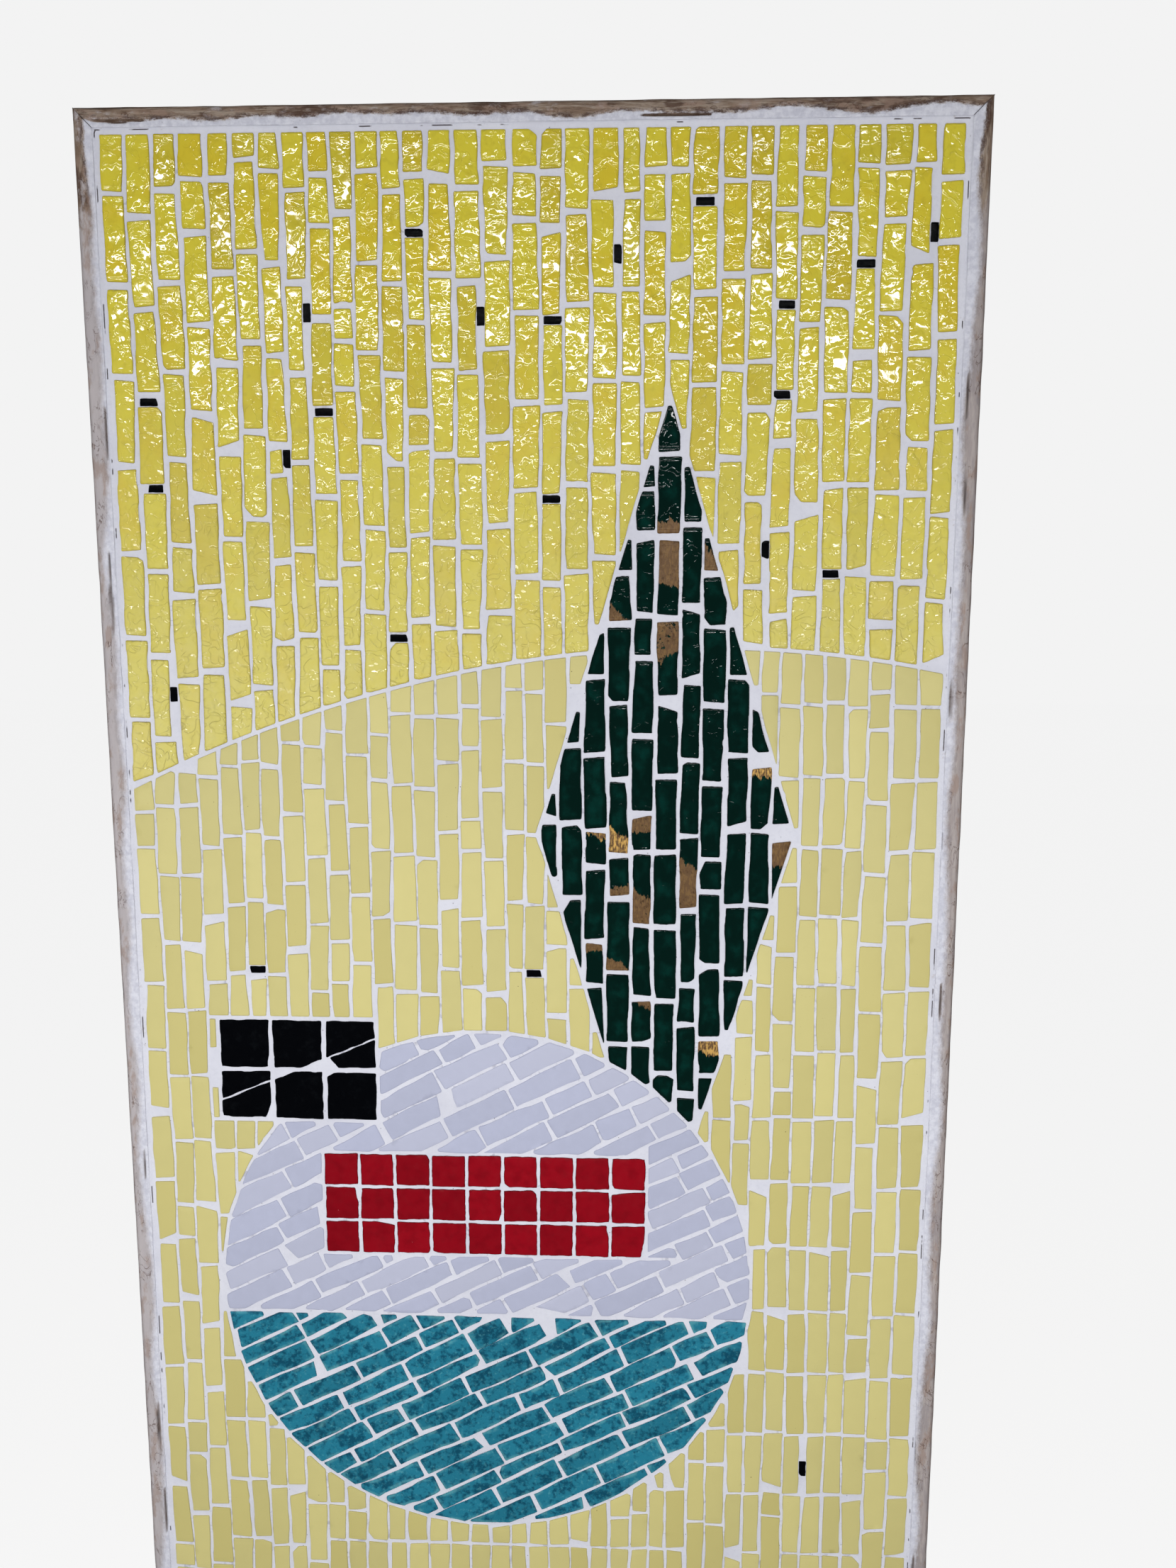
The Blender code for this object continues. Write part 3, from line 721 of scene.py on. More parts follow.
def nipped(outline, chance, most, rng):
    """An outline with some of its corners nipped off."""
    for corner in list(outline):
        if rng.random() < chance:
            turn = rng.uniform(0, 2 * math.pi)
            middle = (sum(p[0] for p in outline) / len(outline), sum(p[1] for p in outline) / len(outline))
            inward = (middle[0] - corner[0], middle[1] - corner[1])
            reach = math.hypot(*inward)
            sway = NIP_SWAY * math.sin(turn)
            face = (
                inward[0] / reach - sway * inward[1] / reach,
                inward[1] / reach + sway * inward[0] / reach,
            )
            depth = rng.uniform(*NIP_SHARE) * most
            start = (corner[0] + face[0] * depth, corner[1] + face[1] * depth)
            end = (start[0] + face[1], start[1] - face[0])
            cut = keep_left(outline, start, end)
            if area_of(cut) > LEAST_LEFT * area_of(outline):
                outline = cut
    return outline


def breadth_of(outline):
    """About how wide a strip is, from its area and the length of its outline."""
    around = sum(math.dist(p, q) for p, q in sides(list(outline)))
    return 2 * signed_area([tuple(p) for p in outline]) / around


def hand_cut(outline, cut, axis, rng, waviness):
    """The outline that nippers leave: wavy along the tile's long sides, with bites and rounded turns."""
    outline = nipped(blunted(outline), cut["nip"], cut["nip_depth"], rng)
    perimeter = sum(math.dist(p, q) for p, q in sides(outline))
    breadth = 2 * signed_area(outline) / perimeter
    scale = min(1.0, breadth / FULL_BREADTH) * waviness
    points = evenly_spaced(np.array(outline), DENSE_STEP)
    places = np.arange(len(points)) * perimeter / len(points)
    inward = ways_in(points)
    if cut["all_round"]:
        sideways = np.ones(len(points))
    else:
        sideways = np.abs(inward @ np.array((-axis[1], axis[0]))) ** 2
    wave = closed_wave(places, perimeter, *cut["wavelengths"], rng) + cut["lean"]
    nibble = closed_wave(places, perimeter, *NIBBLE_WAVELENGTHS, rng)
    depth = scale * (sideways * cut["wave"] * wave + cut["nibble"] * nibble)
    if rng.random() < cut["bite"]:
        away = np.abs(places - rng.uniform(0, perimeter))
        away = np.minimum(away, perimeter - away)
        deepest = scale * rng.uniform(*BITE_SHARE) * cut["bite_depth"]
        depth += deepest * np.exp(-((away / rng.uniform(*BITE_BREADTH)) ** 2))
    points = points + inward * np.maximum(depth, -cut["outward"])[:, None]
    return rounded(points, min(cut["rounding"], 0.1 * breadth), perimeter)


# Gathering meshes


def add_object(name, data):
    """A new object in the scene."""
    made = bpy.data.objects.new(name, data)
    bpy.context.scene.collection.objects.link(made)
    return made


class Pile:
    """Points, faces and values at the points, gathered until they become one piece."""

    def __init__(self):
        self.points = []
        self.faces = []
        self.values = {}
        self.count = 0

    def add(self, points, faces, **values):
        self.points.append(np.asarray(points, dtype=float))
        self.faces.extend([tuple(self.count + corner for corner in face) for face in faces])
        for name, value in values.items():
            spread = np.broadcast_to(np.asarray(value, dtype=float), len(points))
            self.values.setdefault(name, []).append(spread)
        self.count += len(points)

    def piece(self, name, material, slot):
        """The finished piece, riding on the panel."""
        mesh = bpy.data.meshes.new(name)
        mesh.from_pydata(np.vstack(self.points), [], self.faces, shade_flat=False)
        for value, parts in self.values.items():
            attribute = mesh.attributes.new(value, "FLOAT", "POINT")
            attribute.data.foreach_set("value", np.concatenate(parts).astype(np.float32))
        mesh.materials.append(material)
        made = add_object(name, mesh)
        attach(made, "root")
        return made


def ring_bands(rings, count):
    """Quads between closed rings with the same number of points."""
    faces = []
    for ring in range(rings - 1):
        for n in range(count):
            after = (n + 1) % count
            low, high = ring * count, (ring + 1) * count
            faces.append((low + n, low + after, high + after, high + n))
    return faces


def inside(points, outline):
    """Which points lie inside a closed outline."""
    x, z = points[:, 0][:, None], points[:, 1][:, None]
    x1, z1 = outline[:, 0], outline[:, 1]
    x2, z2 = np.roll(x1, -1), np.roll(z1, -1)
    level = (z1 > z) != (z2 > z)
    at = x1 + (z - z1) / np.where(z2 == z1, 1e-12, z2 - z1) * (x2 - x1)
    return (np.sum(level & (x < at), axis=1) % 2) == 1


def hexagonal(left, low, right, high, spacing, shift):
    """Points in staggered rows over a box."""
    rows = np.arange(low + shift[1] * spacing, high, spacing * math.sqrt(0.75))
    points = []
    for n, z in enumerate(rows):
        xs = np.arange(left + (shift[0] + 0.5 * (n % 2)) * spacing, right, spacing)
        points.append(np.column_stack((xs, np.full(len(xs), z))))
    return np.vstack(points) if points else np.zeros((0, 2))


def filled(ring, spacing, clear, rng):
    """Points inside a ring and the triangles between them and it, numbered from the ring's first point."""
    low, high = ring.min(axis=0), ring.max(axis=0)
    middle = hexagonal(*low, *high, spacing, (rng.random(), rng.random()))
    middle = middle[inside(middle, ring)] if len(middle) else middle
    if len(middle):
        apart = np.linalg.norm(middle[:, None] - ring[None], axis=2).min(axis=1)
        middle = middle[apart > clear * spacing]
    everything = np.vstack((ring, middle)) if len(middle) else ring
    corners = [Vector(point) for point in everything]
    found = delaunay_2d_cdt(corners, [], [list(range(len(ring)))], 1, 1e-8, True)
    if len(found[0]) != len(everything):
        return ring[:0], []
    places = [old[0] if old else None for old in found[3]]
    return middle, [tuple(places[corner] for corner in face) for face in found[2]]


def gaps_to(points, outline):
    """How far each point is from a closed outline."""
    start, end = outline, np.roll(outline, -1, axis=0)
    way = end - start
    reach = np.maximum((way**2).sum(axis=1), 1e-14)
    offset = points[:, None] - start[None]
    share = np.clip((offset * way).sum(axis=2) / reach, 0, 1)
    return np.linalg.norm(offset - share[..., None] * way, axis=2).min(axis=1)


# Tiles: all that a hand-cut outline follows, with lengths that start from a full strip

# A tile less broad than this is cut with less play, and the thinnest ones are left out
FULL_BREADTH = 0.0085
THINNEST_BREADTH = 0.0021

# How far apart the seeds of two whole sets of tiles are
SEED_STEP = 100003

# How finely an outline is worked out, and how close its points come at turns
DENSE_STEP = 0.0005
TURN_STEP = 0.55
CLOSEST_SPACING = 0.00050
FEWEST_POINTS = 8

# Points of a tile sharper than this cosine break off where they are this broad
SHARP_COSINE = 0.45
TIP_BREADTH = 0.0022

# Nips at corners, small nibbles and bites, as shares of the zone's own sizes or in metres
NIP_SWAY = 0.7
NIP_SHARE = (0.3, 1.0)
LEAST_LEFT = 0.6
NIBBLE_WAVELENGTHS = (0.003, 0.009)
BITE_SHARE = (0.5, 1.0)
BITE_BREADTH = (0.0010, 0.0022)

STRIP_CUT = {
    "all_round": False,
    "wavelengths": (0.020, 0.075),
    "wave": 0.0006,
    "lean": -0.25,
    "nibble": 0.00010,
    "outward": 0.0004,
    "nip": 0.07,
    "nip_depth": 0.0026,
    "bite": 0.12,
    "bite_depth": 0.0016,
    "rounding": 0.0005,
    "spacing": 0.0030,
    "middle": 0.0021,
    "face": 0.0,
    "shoulder": 0.00075,
    "fall": 0.00040,
    "ripple": 0.00009,
}


def cut_like_strip(**changes):
    return {**STRIP_CUT, **changes}


CUTS = {
    "bright": cut_like_strip(),
    "pale": cut_like_strip(
        wave=0.0005, nibble=0.00006, nip=0.05, bite=0.05, rounding=0.0004, spacing=0.0038, middle=0.0036,
        face=0.0001, shoulder=0.0005, fall=0.00025, ripple=0.00002, outward=0.0005,
    ),
    "green": cut_like_strip(
        nip=0.09, bite=0.16, nibble=0.00014, rounding=0.0005, shoulder=0.0006, ripple=0.00007,
    ),
    "white": cut_like_strip(
        wave=0.0009, wavelengths=(0.028, 0.09), rounding=0.0007, face=0.0002, fall=0.00022, ripple=0.00004,
        outward=0.0006, lean=-0.1,
    ),
    "teal": cut_like_strip(
        wave=0.0014, wavelengths=(0.032, 0.10), rounding=0.0005, nibble=0.00008, bite=0.10, bite_depth=0.0010,
        face=0.0002, fall=0.00025, ripple=0.00003, outward=0.0007, lean=-0.15,
    ),
    "red": cut_like_strip(
        all_round=True, wave=0.00030, wavelengths=(0.008, 0.05), nip=0.10, nip_depth=0.0018, bite=0.3,
        bite_depth=0.0006, rounding=0.00035, face=0.0002, shoulder=0.0004, fall=0.0002, ripple=0.00002,
        outward=0.0003,
    ),
    "black": cut_like_strip(
        all_round=True, wave=0.00055, wavelengths=(0.010, 0.06), nip=0.10, nip_depth=0.0035, bite=0.4,
        bite_depth=0.0010, rounding=0.00035, face=0.0002, shoulder=0.0004, fall=0.0002, ripple=0.00002,
        outward=0.0003,
    ),
    "slip": cut_like_strip(
        all_round=True, wave=0.00022, wavelengths=(0.004, 0.02), nip=0.30, nip_depth=0.0012, bite=0.4,
        bite_depth=0.0005, nibble=0.00008, rounding=0.00022, spacing=0.0012, middle=0.0014, face=0.0002,
        shoulder=0.0003, fall=0.0002, ripple=0.00003, outward=0.0001,
    ),
}

# How much of a green tile its leaf covers, and the value that stands for no leaf
LEAF_SHARE = 0.24
LEAF_COVERS = (0.18, 0.30, 0.45, 0.60)
LEAF_TURN = 0.7
NO_LEAF = -100.0

# How far the slips are grown past their outlines, to fill their joints
SLIP_SPREAD = 0.0004

# Swells in a glaze
SWELLS = 5
SWELL_WAVELENGTHS = (0.010, 0.022)
SWELL_FROM_EDGE = 0.002

# A tile's slope and unevenness, how far its root reaches into the grout, and how its rim is stepped
TILT = 0.006
UNEVEN_FACE = 0.00015
DEEPEST_SWELL = -0.0001
TILE_ROOT = 0.0015
WIDEST_SHOULDER = 0.22
RIM_INSET = 0.30
RIM_FALL = 0.38

# Shares of the insets that are tried until the face can be filled, and the room left for each
INSET_SHARES = (1.0, 0.75, 0.5, 0.3, 0.15, 0.05)
SAFE_INSET = 0.62
CLEAR_OF_RING = 0.62


class CutTile:
    """One tile: its fine outline, the ring of points that its mesh starts from, and what sets it apart."""

    def __init__(self, zone, outline, number, settings):
        self.zone = zone
        self.rng = random.Random(settings.seed * SEED_STEP + number)
        turn = math.radians(STRIPS[zone][3] if zone in STRIPS else UPRIGHT)
        self.axis = np.array((math.cos(turn), math.sin(turn)))
        cut = CUTS[zone]
        self.fine = hand_cut(anticlockwise(list(outline)), cut, self.axis, self.rng, settings.waviness)
        self.ring = closer_at_turns(self.fine, cut["spacing"])
        self.tone = self.rng.random()
        self.hue = self.rng.random()


@functools.cache
def cut_tiles():
    """Every tile by zone, cut once for all the pieces that need it."""
    settings = bpy.context.scene.mosaic_tiles
    outlines, slips = lay_all()
    outlines["slip"] = [grown(slip, SLIP_SPREAD) for slip in slips]
    made, number = {}, 0
    for zone, zone_outlines in outlines.items():
        made[zone] = []
        for outline in zone_outlines:
            number += 1
            if breadth_of(anticlockwise(list(outline))) < THINNEST_BREADTH:
                continue
            made[zone].append(CutTile(zone, outline, number, settings))
    return made


def ripples(points, height, rng):
    """Slow swells in a glaze, as a height at each point."""
    total = np.zeros(len(points))
    for _ in range(SWELLS):
        turn = rng.uniform(0, math.pi)
        wavelength = rng.uniform(*SWELL_WAVELENGTHS)
        wave = np.array((math.cos(turn), math.sin(turn))) * 2 * math.pi / wavelength
        total += np.sin(points @ wave + rng.uniform(0, 2 * math.pi)) / 2
    return total * height


def torn_leaf(points, tile):
    """How far each point lies inside a patch of leaf, in mm, on the few tiles that have one."""
    if tile.zone != "green" or tile.rng.random() > LEAF_SHARE:
        return np.full(len(points), NO_LEAF)
    along = tile.ring @ tile.axis
    turn = tile.rng.uniform(-LEAF_TURN, LEAF_TURN)
    if tile.rng.random() < 0.5:
        turn += math.pi
    way = np.array((math.sin(turn), -math.cos(turn)))
    depths = tile.ring @ way
    cover = tile.rng.choice(LEAF_COVERS)
    edge = depths.max() - cover * (along.max() - along.min())
    return (points @ way - edge) * 1000


def tightest_inset(ring):
    """How far each point can move inwards before it meets its neighbours' paths."""
    ahead = np.roll(ring, -1, axis=0) - ring
    way = np.arctan2(ahead[:, 1], ahead[:, 0])
    turn = (way - np.roll(way, 1) + math.pi) % (2 * math.pi) - math.pi
    span = np.linalg.norm(ahead, axis=1)
    return 0.5 * (span + np.roll(span, 1)) / np.maximum(turn, 1e-4)


def inset_rings(ring, insets):
    """The ring moved inwards by each inset, and by less at sharp corners."""
    inward = ways_in(ring)
    room = SAFE_INSET * tightest_inset(ring)
    rings = []
    for inset in insets:
        by = np.minimum(inset, room)
        soft = 0.25 * (np.roll(by, 1) + 2 * by + np.roll(by, -1))
        rings.append(ring + inward * np.minimum(by, soft)[:, None])
    return rings


def add_tile(pile, tile, settings):
    """One tile with a root in the grout, a rounded rim and a face that swells and slopes a little."""
    cut, rng, ring = CUTS[tile.zone], tile.rng, tile.ring
    count = len(ring)
    shoulder = min(cut["shoulder"], WIDEST_SHOULDER * breadth_of(ring))
    face = BED_FRONT_Y - settings.proud + cut["face"] + rng.uniform(0, UNEVEN_FACE)
    insets = (0.0, 0.0, RIM_INSET * shoulder, shoulder)
    falls = (0.0, cut["fall"], RIM_FALL * cut["fall"], 0.0)
    for share in INSET_SHARES:
        rings = inset_rings(ring, [share * inset for inset in insets])
        middle, faces = filled(rings[-1], cut["middle"], CLEAR_OF_RING, rng)
        if faces:
            break
    else:
        raise RuntimeError("a tile's face can't be filled")
    flat = np.vstack(rings + [middle])
    edge = np.concatenate((np.repeat(insets, count), gaps_to(middle, ring) if len(middle) else []))
    drop = np.concatenate((np.repeat(falls, count), np.zeros(len(middle))))
    swell = ripples(flat, cut["ripple"] * settings.ripple, rng) * np.clip(edge / SWELL_FROM_EDGE, 0, 1)
    along = flat @ tile.axis
    end = np.minimum(along - along.min(), along.max() - along) * 1000
    slope = (rng.uniform(-1, 1), rng.uniform(-1, 1))
    tilt = (flat - ring.mean(axis=0)) @ np.array(slope) * TILT
    depth = face + drop + np.maximum(swell + tilt, DEEPEST_SWELL)
    depth[:count] = BED_FRONT_Y + TILE_ROOT
    top = (len(insets) - 1) * count
    caps = [tuple(top + corner for corner in triangle) for triangle in faces]
    root = [tuple(reversed(range(count)))]
    pile.add(
        np.column_stack((flat[:, 0], depth, flat[:, 1])), ring_bands(len(insets), count) + caps + root,
        tone=tile.tone, hue=tile.hue, edge=edge * 1000, end=end, leaf=torn_leaf(flat, tile),
    )


def tile_piece(name, zone, material, slot, node=None):
    """All the tiles of one zone as one piece, in place of the CAD's solid."""
    pile = Pile()
    for tile in cut_tiles()[zone]:
        add_tile(pile, tile, bpy.context.scene.mosaic_tiles)
    piece = pile.piece(name, material, slot)
    if node:
        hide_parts(node)
    return piece


# Finishes


class Value:
    """A number or colour that changes over a surface. Arithmetic on a number adds its Math nodes."""

    def __init__(self, finish, socket):
        self.finish = finish
        self.socket = socket

    def math(self, operation, *values):
        return self.finish.node("ShaderNodeMath", {"operation": operation}, dict(enumerate(values)))

    def __add__(self, other):
        return self.math("ADD", self, other)

    def __radd__(self, other):
        return self.math("ADD", other, self)

    def __sub__(self, other):
        return self.math("SUBTRACT", self, other)

    def __rsub__(self, other):
        return self.math("SUBTRACT", other, self)

    def __mul__(self, other):
        return self.math("MULTIPLY", self, other)

    def __rmul__(self, other):
        return self.math("MULTIPLY", other, self)

    def __truediv__(self, other):
        return self.math("DIVIDE", self, other)

    def __pow__(self, exponent):
        return self.math("POWER", self, exponent)

    def __abs__(self):
        return self.math("ABSOLUTE", self)

    def fade(self, start, end):
        """0 at start, 1 at end and smooth between, whichever of the two is larger."""
        sockets = {"Value": self, "From Min": start, "From Max": end}
        return self.finish.node("ShaderNodeMapRange", {"interpolation_type": "SMOOTHSTEP"}, sockets)


class NodeTree:
    """Shader nodes, put together one at a time."""

    def __init__(self, tree):
        self.tree = tree

    def feed(self, socket, value):
        if isinstance(value, Value):
            self.tree.links.new(value.socket, socket)
        elif socket.type == "RGBA":
            socket.default_value = (*value[:3], 1.0)
        else:
            socket.default_value = value

    def node(self, kind, settings=None, sockets=None, output=0):
        made = self.tree.nodes.new(kind)
        for name, value in (settings or {}).items():
            setattr(made, name, value)
        for key, value in (sockets or {}).items():
            self.feed(made.inputs[key], value)
        return Value(self, made.outputs[output]) if made.outputs else None


class Finish(NodeTree):
    """A material, with the patterns that the finishes are made of."""

    def __init__(self, name, roughness=0.5, specular=0.5):
        self.material = bpy.data.materials.new(name)
        self.material.use_nodes = True
        super().__init__(self.material.node_tree)
        self.shader = self.tree.nodes["Principled BSDF"]
        self.shader.inputs["Roughness"].default_value = roughness
        self.shader.inputs["Specular IOR Level"].default_value = specular
        self.place = self.node("ShaderNodeTexCoord", output="Object")

    def attribute(self, name):
        return self.node("ShaderNodeAttribute", {"attribute_name": name}, output="Fac")

    def vector(self, x, y, z):
        return self.node("ShaderNodeCombineXYZ", None, {0: x, 1: y, 2: z})

    def moved(self, place, by):
        return self.node("ShaderNodeVectorMath", {"operation": "ADD"}, {0: place, 1: by})

    def stretched(self, place, by):
        return self.node("ShaderNodeVectorMath", {"operation": "MULTIPLY"}, {0: place, 1: by})

    def cloud(self, place, size_mm, detail=2.0, roughness=0.5, distortion=0.0):
        """Noise from 0 to 1 with patches of about a size in mm."""
        sockets = {"Vector": place, "Scale": 1000 / size_mm, "Detail": detail, "Roughness": roughness}
        sockets["Distortion"] = distortion
        return self.node("ShaderNodeTexNoise", None, sockets)

    def cells(self, place, size_mm, output="Distance"):
        sockets = {"Vector": place, "Scale": 1000 / size_mm}
        return self.node("ShaderNodeTexVoronoi", None, sockets, output)

    def channel(self, shade, number):
        return self.node("ShaderNodeSeparateColor", None, {0: shade}, number)

    def part(self, place, axis):
        """One of the three coordinates of a place, in metres."""
        return self.node("ShaderNodeSeparateXYZ", None, {0: place}, axis)

    def specks(self, place, size_mm, radius_mm, share):
        """1 in small round spots, one in some of the cells of a size, and 0 between them."""
        distance = self.cells(place, size_mm)
        pick = self.channel(self.cells(place, size_mm, "Color"), 0)
        spot = distance.fade(radius_mm / size_mm, 0.5 * radius_mm / size_mm)
        return spot * pick.fade(share + 0.01, share)

    def mix(self, first, second, share, blend="MIX"):
        settings = {"data_type": "RGBA", "blend_type": blend}
        return self.node("ShaderNodeMix", settings, {0: share, 6: first, 7: second}, 2)

    def shaded(self, shade, factor):
        """A colour made darker or lighter by a factor that varies."""
        grey = self.node("ShaderNodeCombineColor", None, {0: factor, 1: factor, 2: factor})
        return self.mix(shade, grey, 1.0, "MULTIPLY")

    def relief(self, height_mm):
        """Fine relief with a height in mm."""
        bump = self.node("ShaderNodeBump", None, {"Height": height_mm, "Distance": 0.001, "Strength": 1.0})
        self.feed(self.shader.inputs["Normal"], bump)

    def finish(self, **sockets):
        """Links the shader's own sockets, by their names with spaces written as underscores."""
        for name, value in sockets.items():
            self.feed(self.shader.inputs[name.replace("_", " ")], value)
        return self.material


class Glaze(Finish):
    """A finish for tiles, with what each tile's points carry."""

    def __init__(self, name, **constants):
        super().__init__(name, **constants)
        self.tone = self.attribute("tone")
        self.hue = self.attribute("hue")
        self.edge = self.attribute("edge")
        self.end = self.attribute("end")
        self.rise = self.part(self.place, 2) * 1000
        self.place = self.moved(self.place, self.vector(self.tone * 3.7, self.hue * 1.9, self.tone * 5.3))

    def bead(self, at_mm, breadth_mm, height_mm):
        """A low ridge that runs across a tile at a distance from its end."""
        return abs(self.end - at_mm).fade(breadth_mm, 0.0) * height_mm

    def lean(self, most):
        """The slope that each tile is set at, up or down, as a height in mm."""
        return self.rise * (self.hue - 0.5) * (2 * most)

    def strokes(self, size_mm, height_mm, share):
        """Marks of an upright brush, on a share of the tiles."""
        upright = self.stretched(self.place, (1.0, 1.0, 0.10))
        return self.cloud(upright, size_mm, 2.0) * self.tone.fade(1 - share, 1 - share + 0.02) * height_mm

    def wrinkles(self, size_mm, height_mm):
        """Folds of a thick glaze."""
        fold = abs(self.cloud(self.place, size_mm, 2.5, 0.5, 0.6) - 0.5)
        return fold * (-3.2 * height_mm)

    def veins(self, size_mm, breadth, height_mm, patch_mm=14, least=0.42):
        """Thin raised lines that wander over a glaze in patches."""
        line = abs(self.cloud(self.place, size_mm, 1.0, 0.5, 0.9) - 0.5).fade(breadth, 0.0)
        shifted = self.moved(self.place, (0.7, 0.2, 0.4))
        return line * self.cloud(shifted, patch_mm, 1.0).fade(least, least + 0.12) * height_mm

    def craters(self, size_mm, radius_mm, height_mm, share):
        """Round rims where bubbles burst, in some of the cells of a size."""
        distance = self.cells(self.place, size_mm)
        pick = self.channel(self.cells(self.place, size_mm, "Color"), 1)
        rim = abs(distance - radius_mm / size_mm).fade(0.6 / size_mm, 0.0)
        return rim * pick.fade(share + 0.01, share) * height_mm


# Where a second set of specks is read, so that it differs from the first
SPECK_SHIFT = (0.3, 0.1, 0.2)

# Second colours of the glazes
PAINTED_SHEEN_LEMON = tint(232, 223, 152)
BROWN_RIM = tint(120, 96, 30)
BROWN_SPECK = tint(86, 70, 22)
FINE_SPECK = tint(60, 50, 26)
PINHOLE = tint(24, 22, 16)
DEEP_STRAW = tint(202, 190, 118)
STRAW_RIM = tint(168, 158, 98)
STRAW_SPECK = tint(84, 68, 30)
FINE_STRAW_SPECK = tint(150, 136, 70)
GREEN_RIM = tint(0, 8, 6)
GOLD = tint(226, 180, 98)
WORN_BRONZE = tint(82, 58, 34)
LIGHT_LILAC = tint(202, 204, 222)
LILAC_RIM = tint(160, 164, 190)
LILAC_SPECK = tint(120, 122, 146)
THIN_TEAL = tint(92, 170, 182)
TEAL_BREAK = tint(104, 176, 184)
TEAL_RIM = tint(6, 62, 84)
TEAL_SPECK = tint(0, 40, 60)
DARK_RED = tint(120, 4, 18)
RED_RIM = tint(70, 0, 10)
RED_CHIP = tint(222, 120, 126)
SOFT_BLACK = tint(12, 14, 17)
BLACK_CHIP = tint(120, 124, 134)

# Second colours of the grout, the rails and the board
PAINTED_GROUT_SHADOW = tint(150, 150, 166)
GROUT_PIT = tint(66, 60, 62)
GROUT_STAIN = tint(168, 152, 138)
PAINTED_GAP_SHADE = tint(58, 46, 44)
WOOD_PATCH = tint(84, 62, 52)
WOOD_FIBRE = tint(190, 178, 164)
WOOD_STAIN = tint(158, 134, 120)
PAINTED_EDGE_SHADE = tint(92, 72, 60)
WOOD_SCRATCH = tint(92, 70, 60)
WOOD_FLAKE = tint(74, 54, 46)
SMEAR_FLECK = tint(70, 58, 52)
PAINTED_CRACK_SHADE = tint(44, 30, 24)
PINE = tint(196, 164, 122)
DARK_PINE = tint(168, 130, 90)
PINE_LINE = tint(128, 94, 62)
PINE_GREY = tint(150, 132, 112)


def bright_glaze(glazes):
    made = Glaze("bright_yellow_glaze", roughness=0.07, specular=0.95)
    other = made.moved(made.place, (0.5, 0.9, 0.1))
    patches = made.cloud(made.place, 16, 2.0)
    warmth = (patches + made.tone * 0.5 - 0.25).fade(0.40, 0.80) * 0.8
    shade = made.mix(glazes.lemon, glazes.golden, warmth)
    dull = made.hue.fade(0.55, 1.0) * 0.28 + made.cloud(made.place, 5, 3.0).fade(0.52, 0.75) * 0.25
    shade = made.mix(shade, glazes.olive, dull)
    # Painted sheen: lower down the panel the glaze is mixed towards a paler lemon, in patches, standing in
    # for the pale reflection of the room in the lower tiles
    lighter = made.rise.fade(400, 60) * (made.cloud(other, 7, 2.0) * 0.5 + 0.40)
    shade = made.mix(shade, PAINTED_SHEEN_LEMON, lighter)
    rim = made.edge.fade(1.3, 0.0)
    shade = made.mix(shade, glazes.olive, rim * 0.55)
    shade = made.mix(shade, BROWN_RIM, made.edge.fade(0.35, 0.0) * 0.5)
    shade = made.mix(shade, BROWN_SPECK, made.specks(made.place, 9, 0.42, 0.22))
    shade = made.mix(shade, FINE_SPECK, made.specks(made.moved(made.place, SPECK_SHIFT), 3.2, 0.16, 0.12))
    shade = made.mix(shade, PINHOLE, made.specks(other, 30, 1.7, 0.02))
    across = made.stretched(other, (0.55, 1.0, 1.0))
    lively = made.cloud(other, 11, 2.0).fade(0.44, 0.58) * (1 + made.rise.fade(330, 120))
    steeper = made.rise.fade(330, 60)
    bead = made.bead(1.1, 0.8, 0.09) + made.bead(2.9, 0.7, 0.05) * made.hue.fade(0.1, 0.8)
    made.relief(
        made.cloud(made.place, 9, 1.0) * (lively * 0.28 + 0.36)
        + made.cloud(across, 3.6, 1.0) * (lively * 0.26 + 0.01)
        + made.lean(0.035)
        + made.strokes(0.9, 0.06, 0.16)
        + made.veins(8.0, 0.05, 0.13, 14, 0.36) * (steeper * 1.5 + 1)
        + made.craters(9, 1.25, 0.09, 0.32) * (steeper * 1.6 + 1)
        + bead * made.cloud(made.place, 4, 1.0).fade(0.25, 0.55) * (steeper * 1.8 + 1)
    )
    rough = made.cloud(made.place, 3, 3.0).fade(0.3, 0.8) * 0.05 + 0.04
    return made.finish(Base_Color=shade, Roughness=rough)


def pale_glaze(glazes):
    made = Glaze("pale_yellow_glaze", roughness=0.3)
    tone = made.tone * 0.14 + 0.90 + made.cloud(made.place, 12, 3.0).fade(0.2, 0.8) * 0.03
    shade = made.shaded(glazes.straw, tone)
    shade = made.mix(shade, DEEP_STRAW, made.hue.fade(0.5, 1.0) * 0.6)
    shade = made.mix(shade, STRAW_RIM, made.edge.fade(0.55, 0.0) * 0.45)
    shade = made.mix(shade, STRAW_SPECK, made.specks(made.place, 11, 0.38, 0.30))
    fine = made.specks(made.moved(made.place, SPECK_SHIFT), 2.4, 0.20, 0.08)
    shade = made.mix(shade, FINE_STRAW_SPECK, fine * 0.6)
    made.relief(made.wrinkles(9, 0.02) + made.cloud(made.place, 1.2, 2.0) * 0.008 + made.bead(0.9, 0.9, 0.08))
    rough = made.cloud(made.place, 4, 2.0).fade(0.3, 0.8) * 0.04 + 0.30
    return made.finish(Base_Color=shade, Roughness=rough)


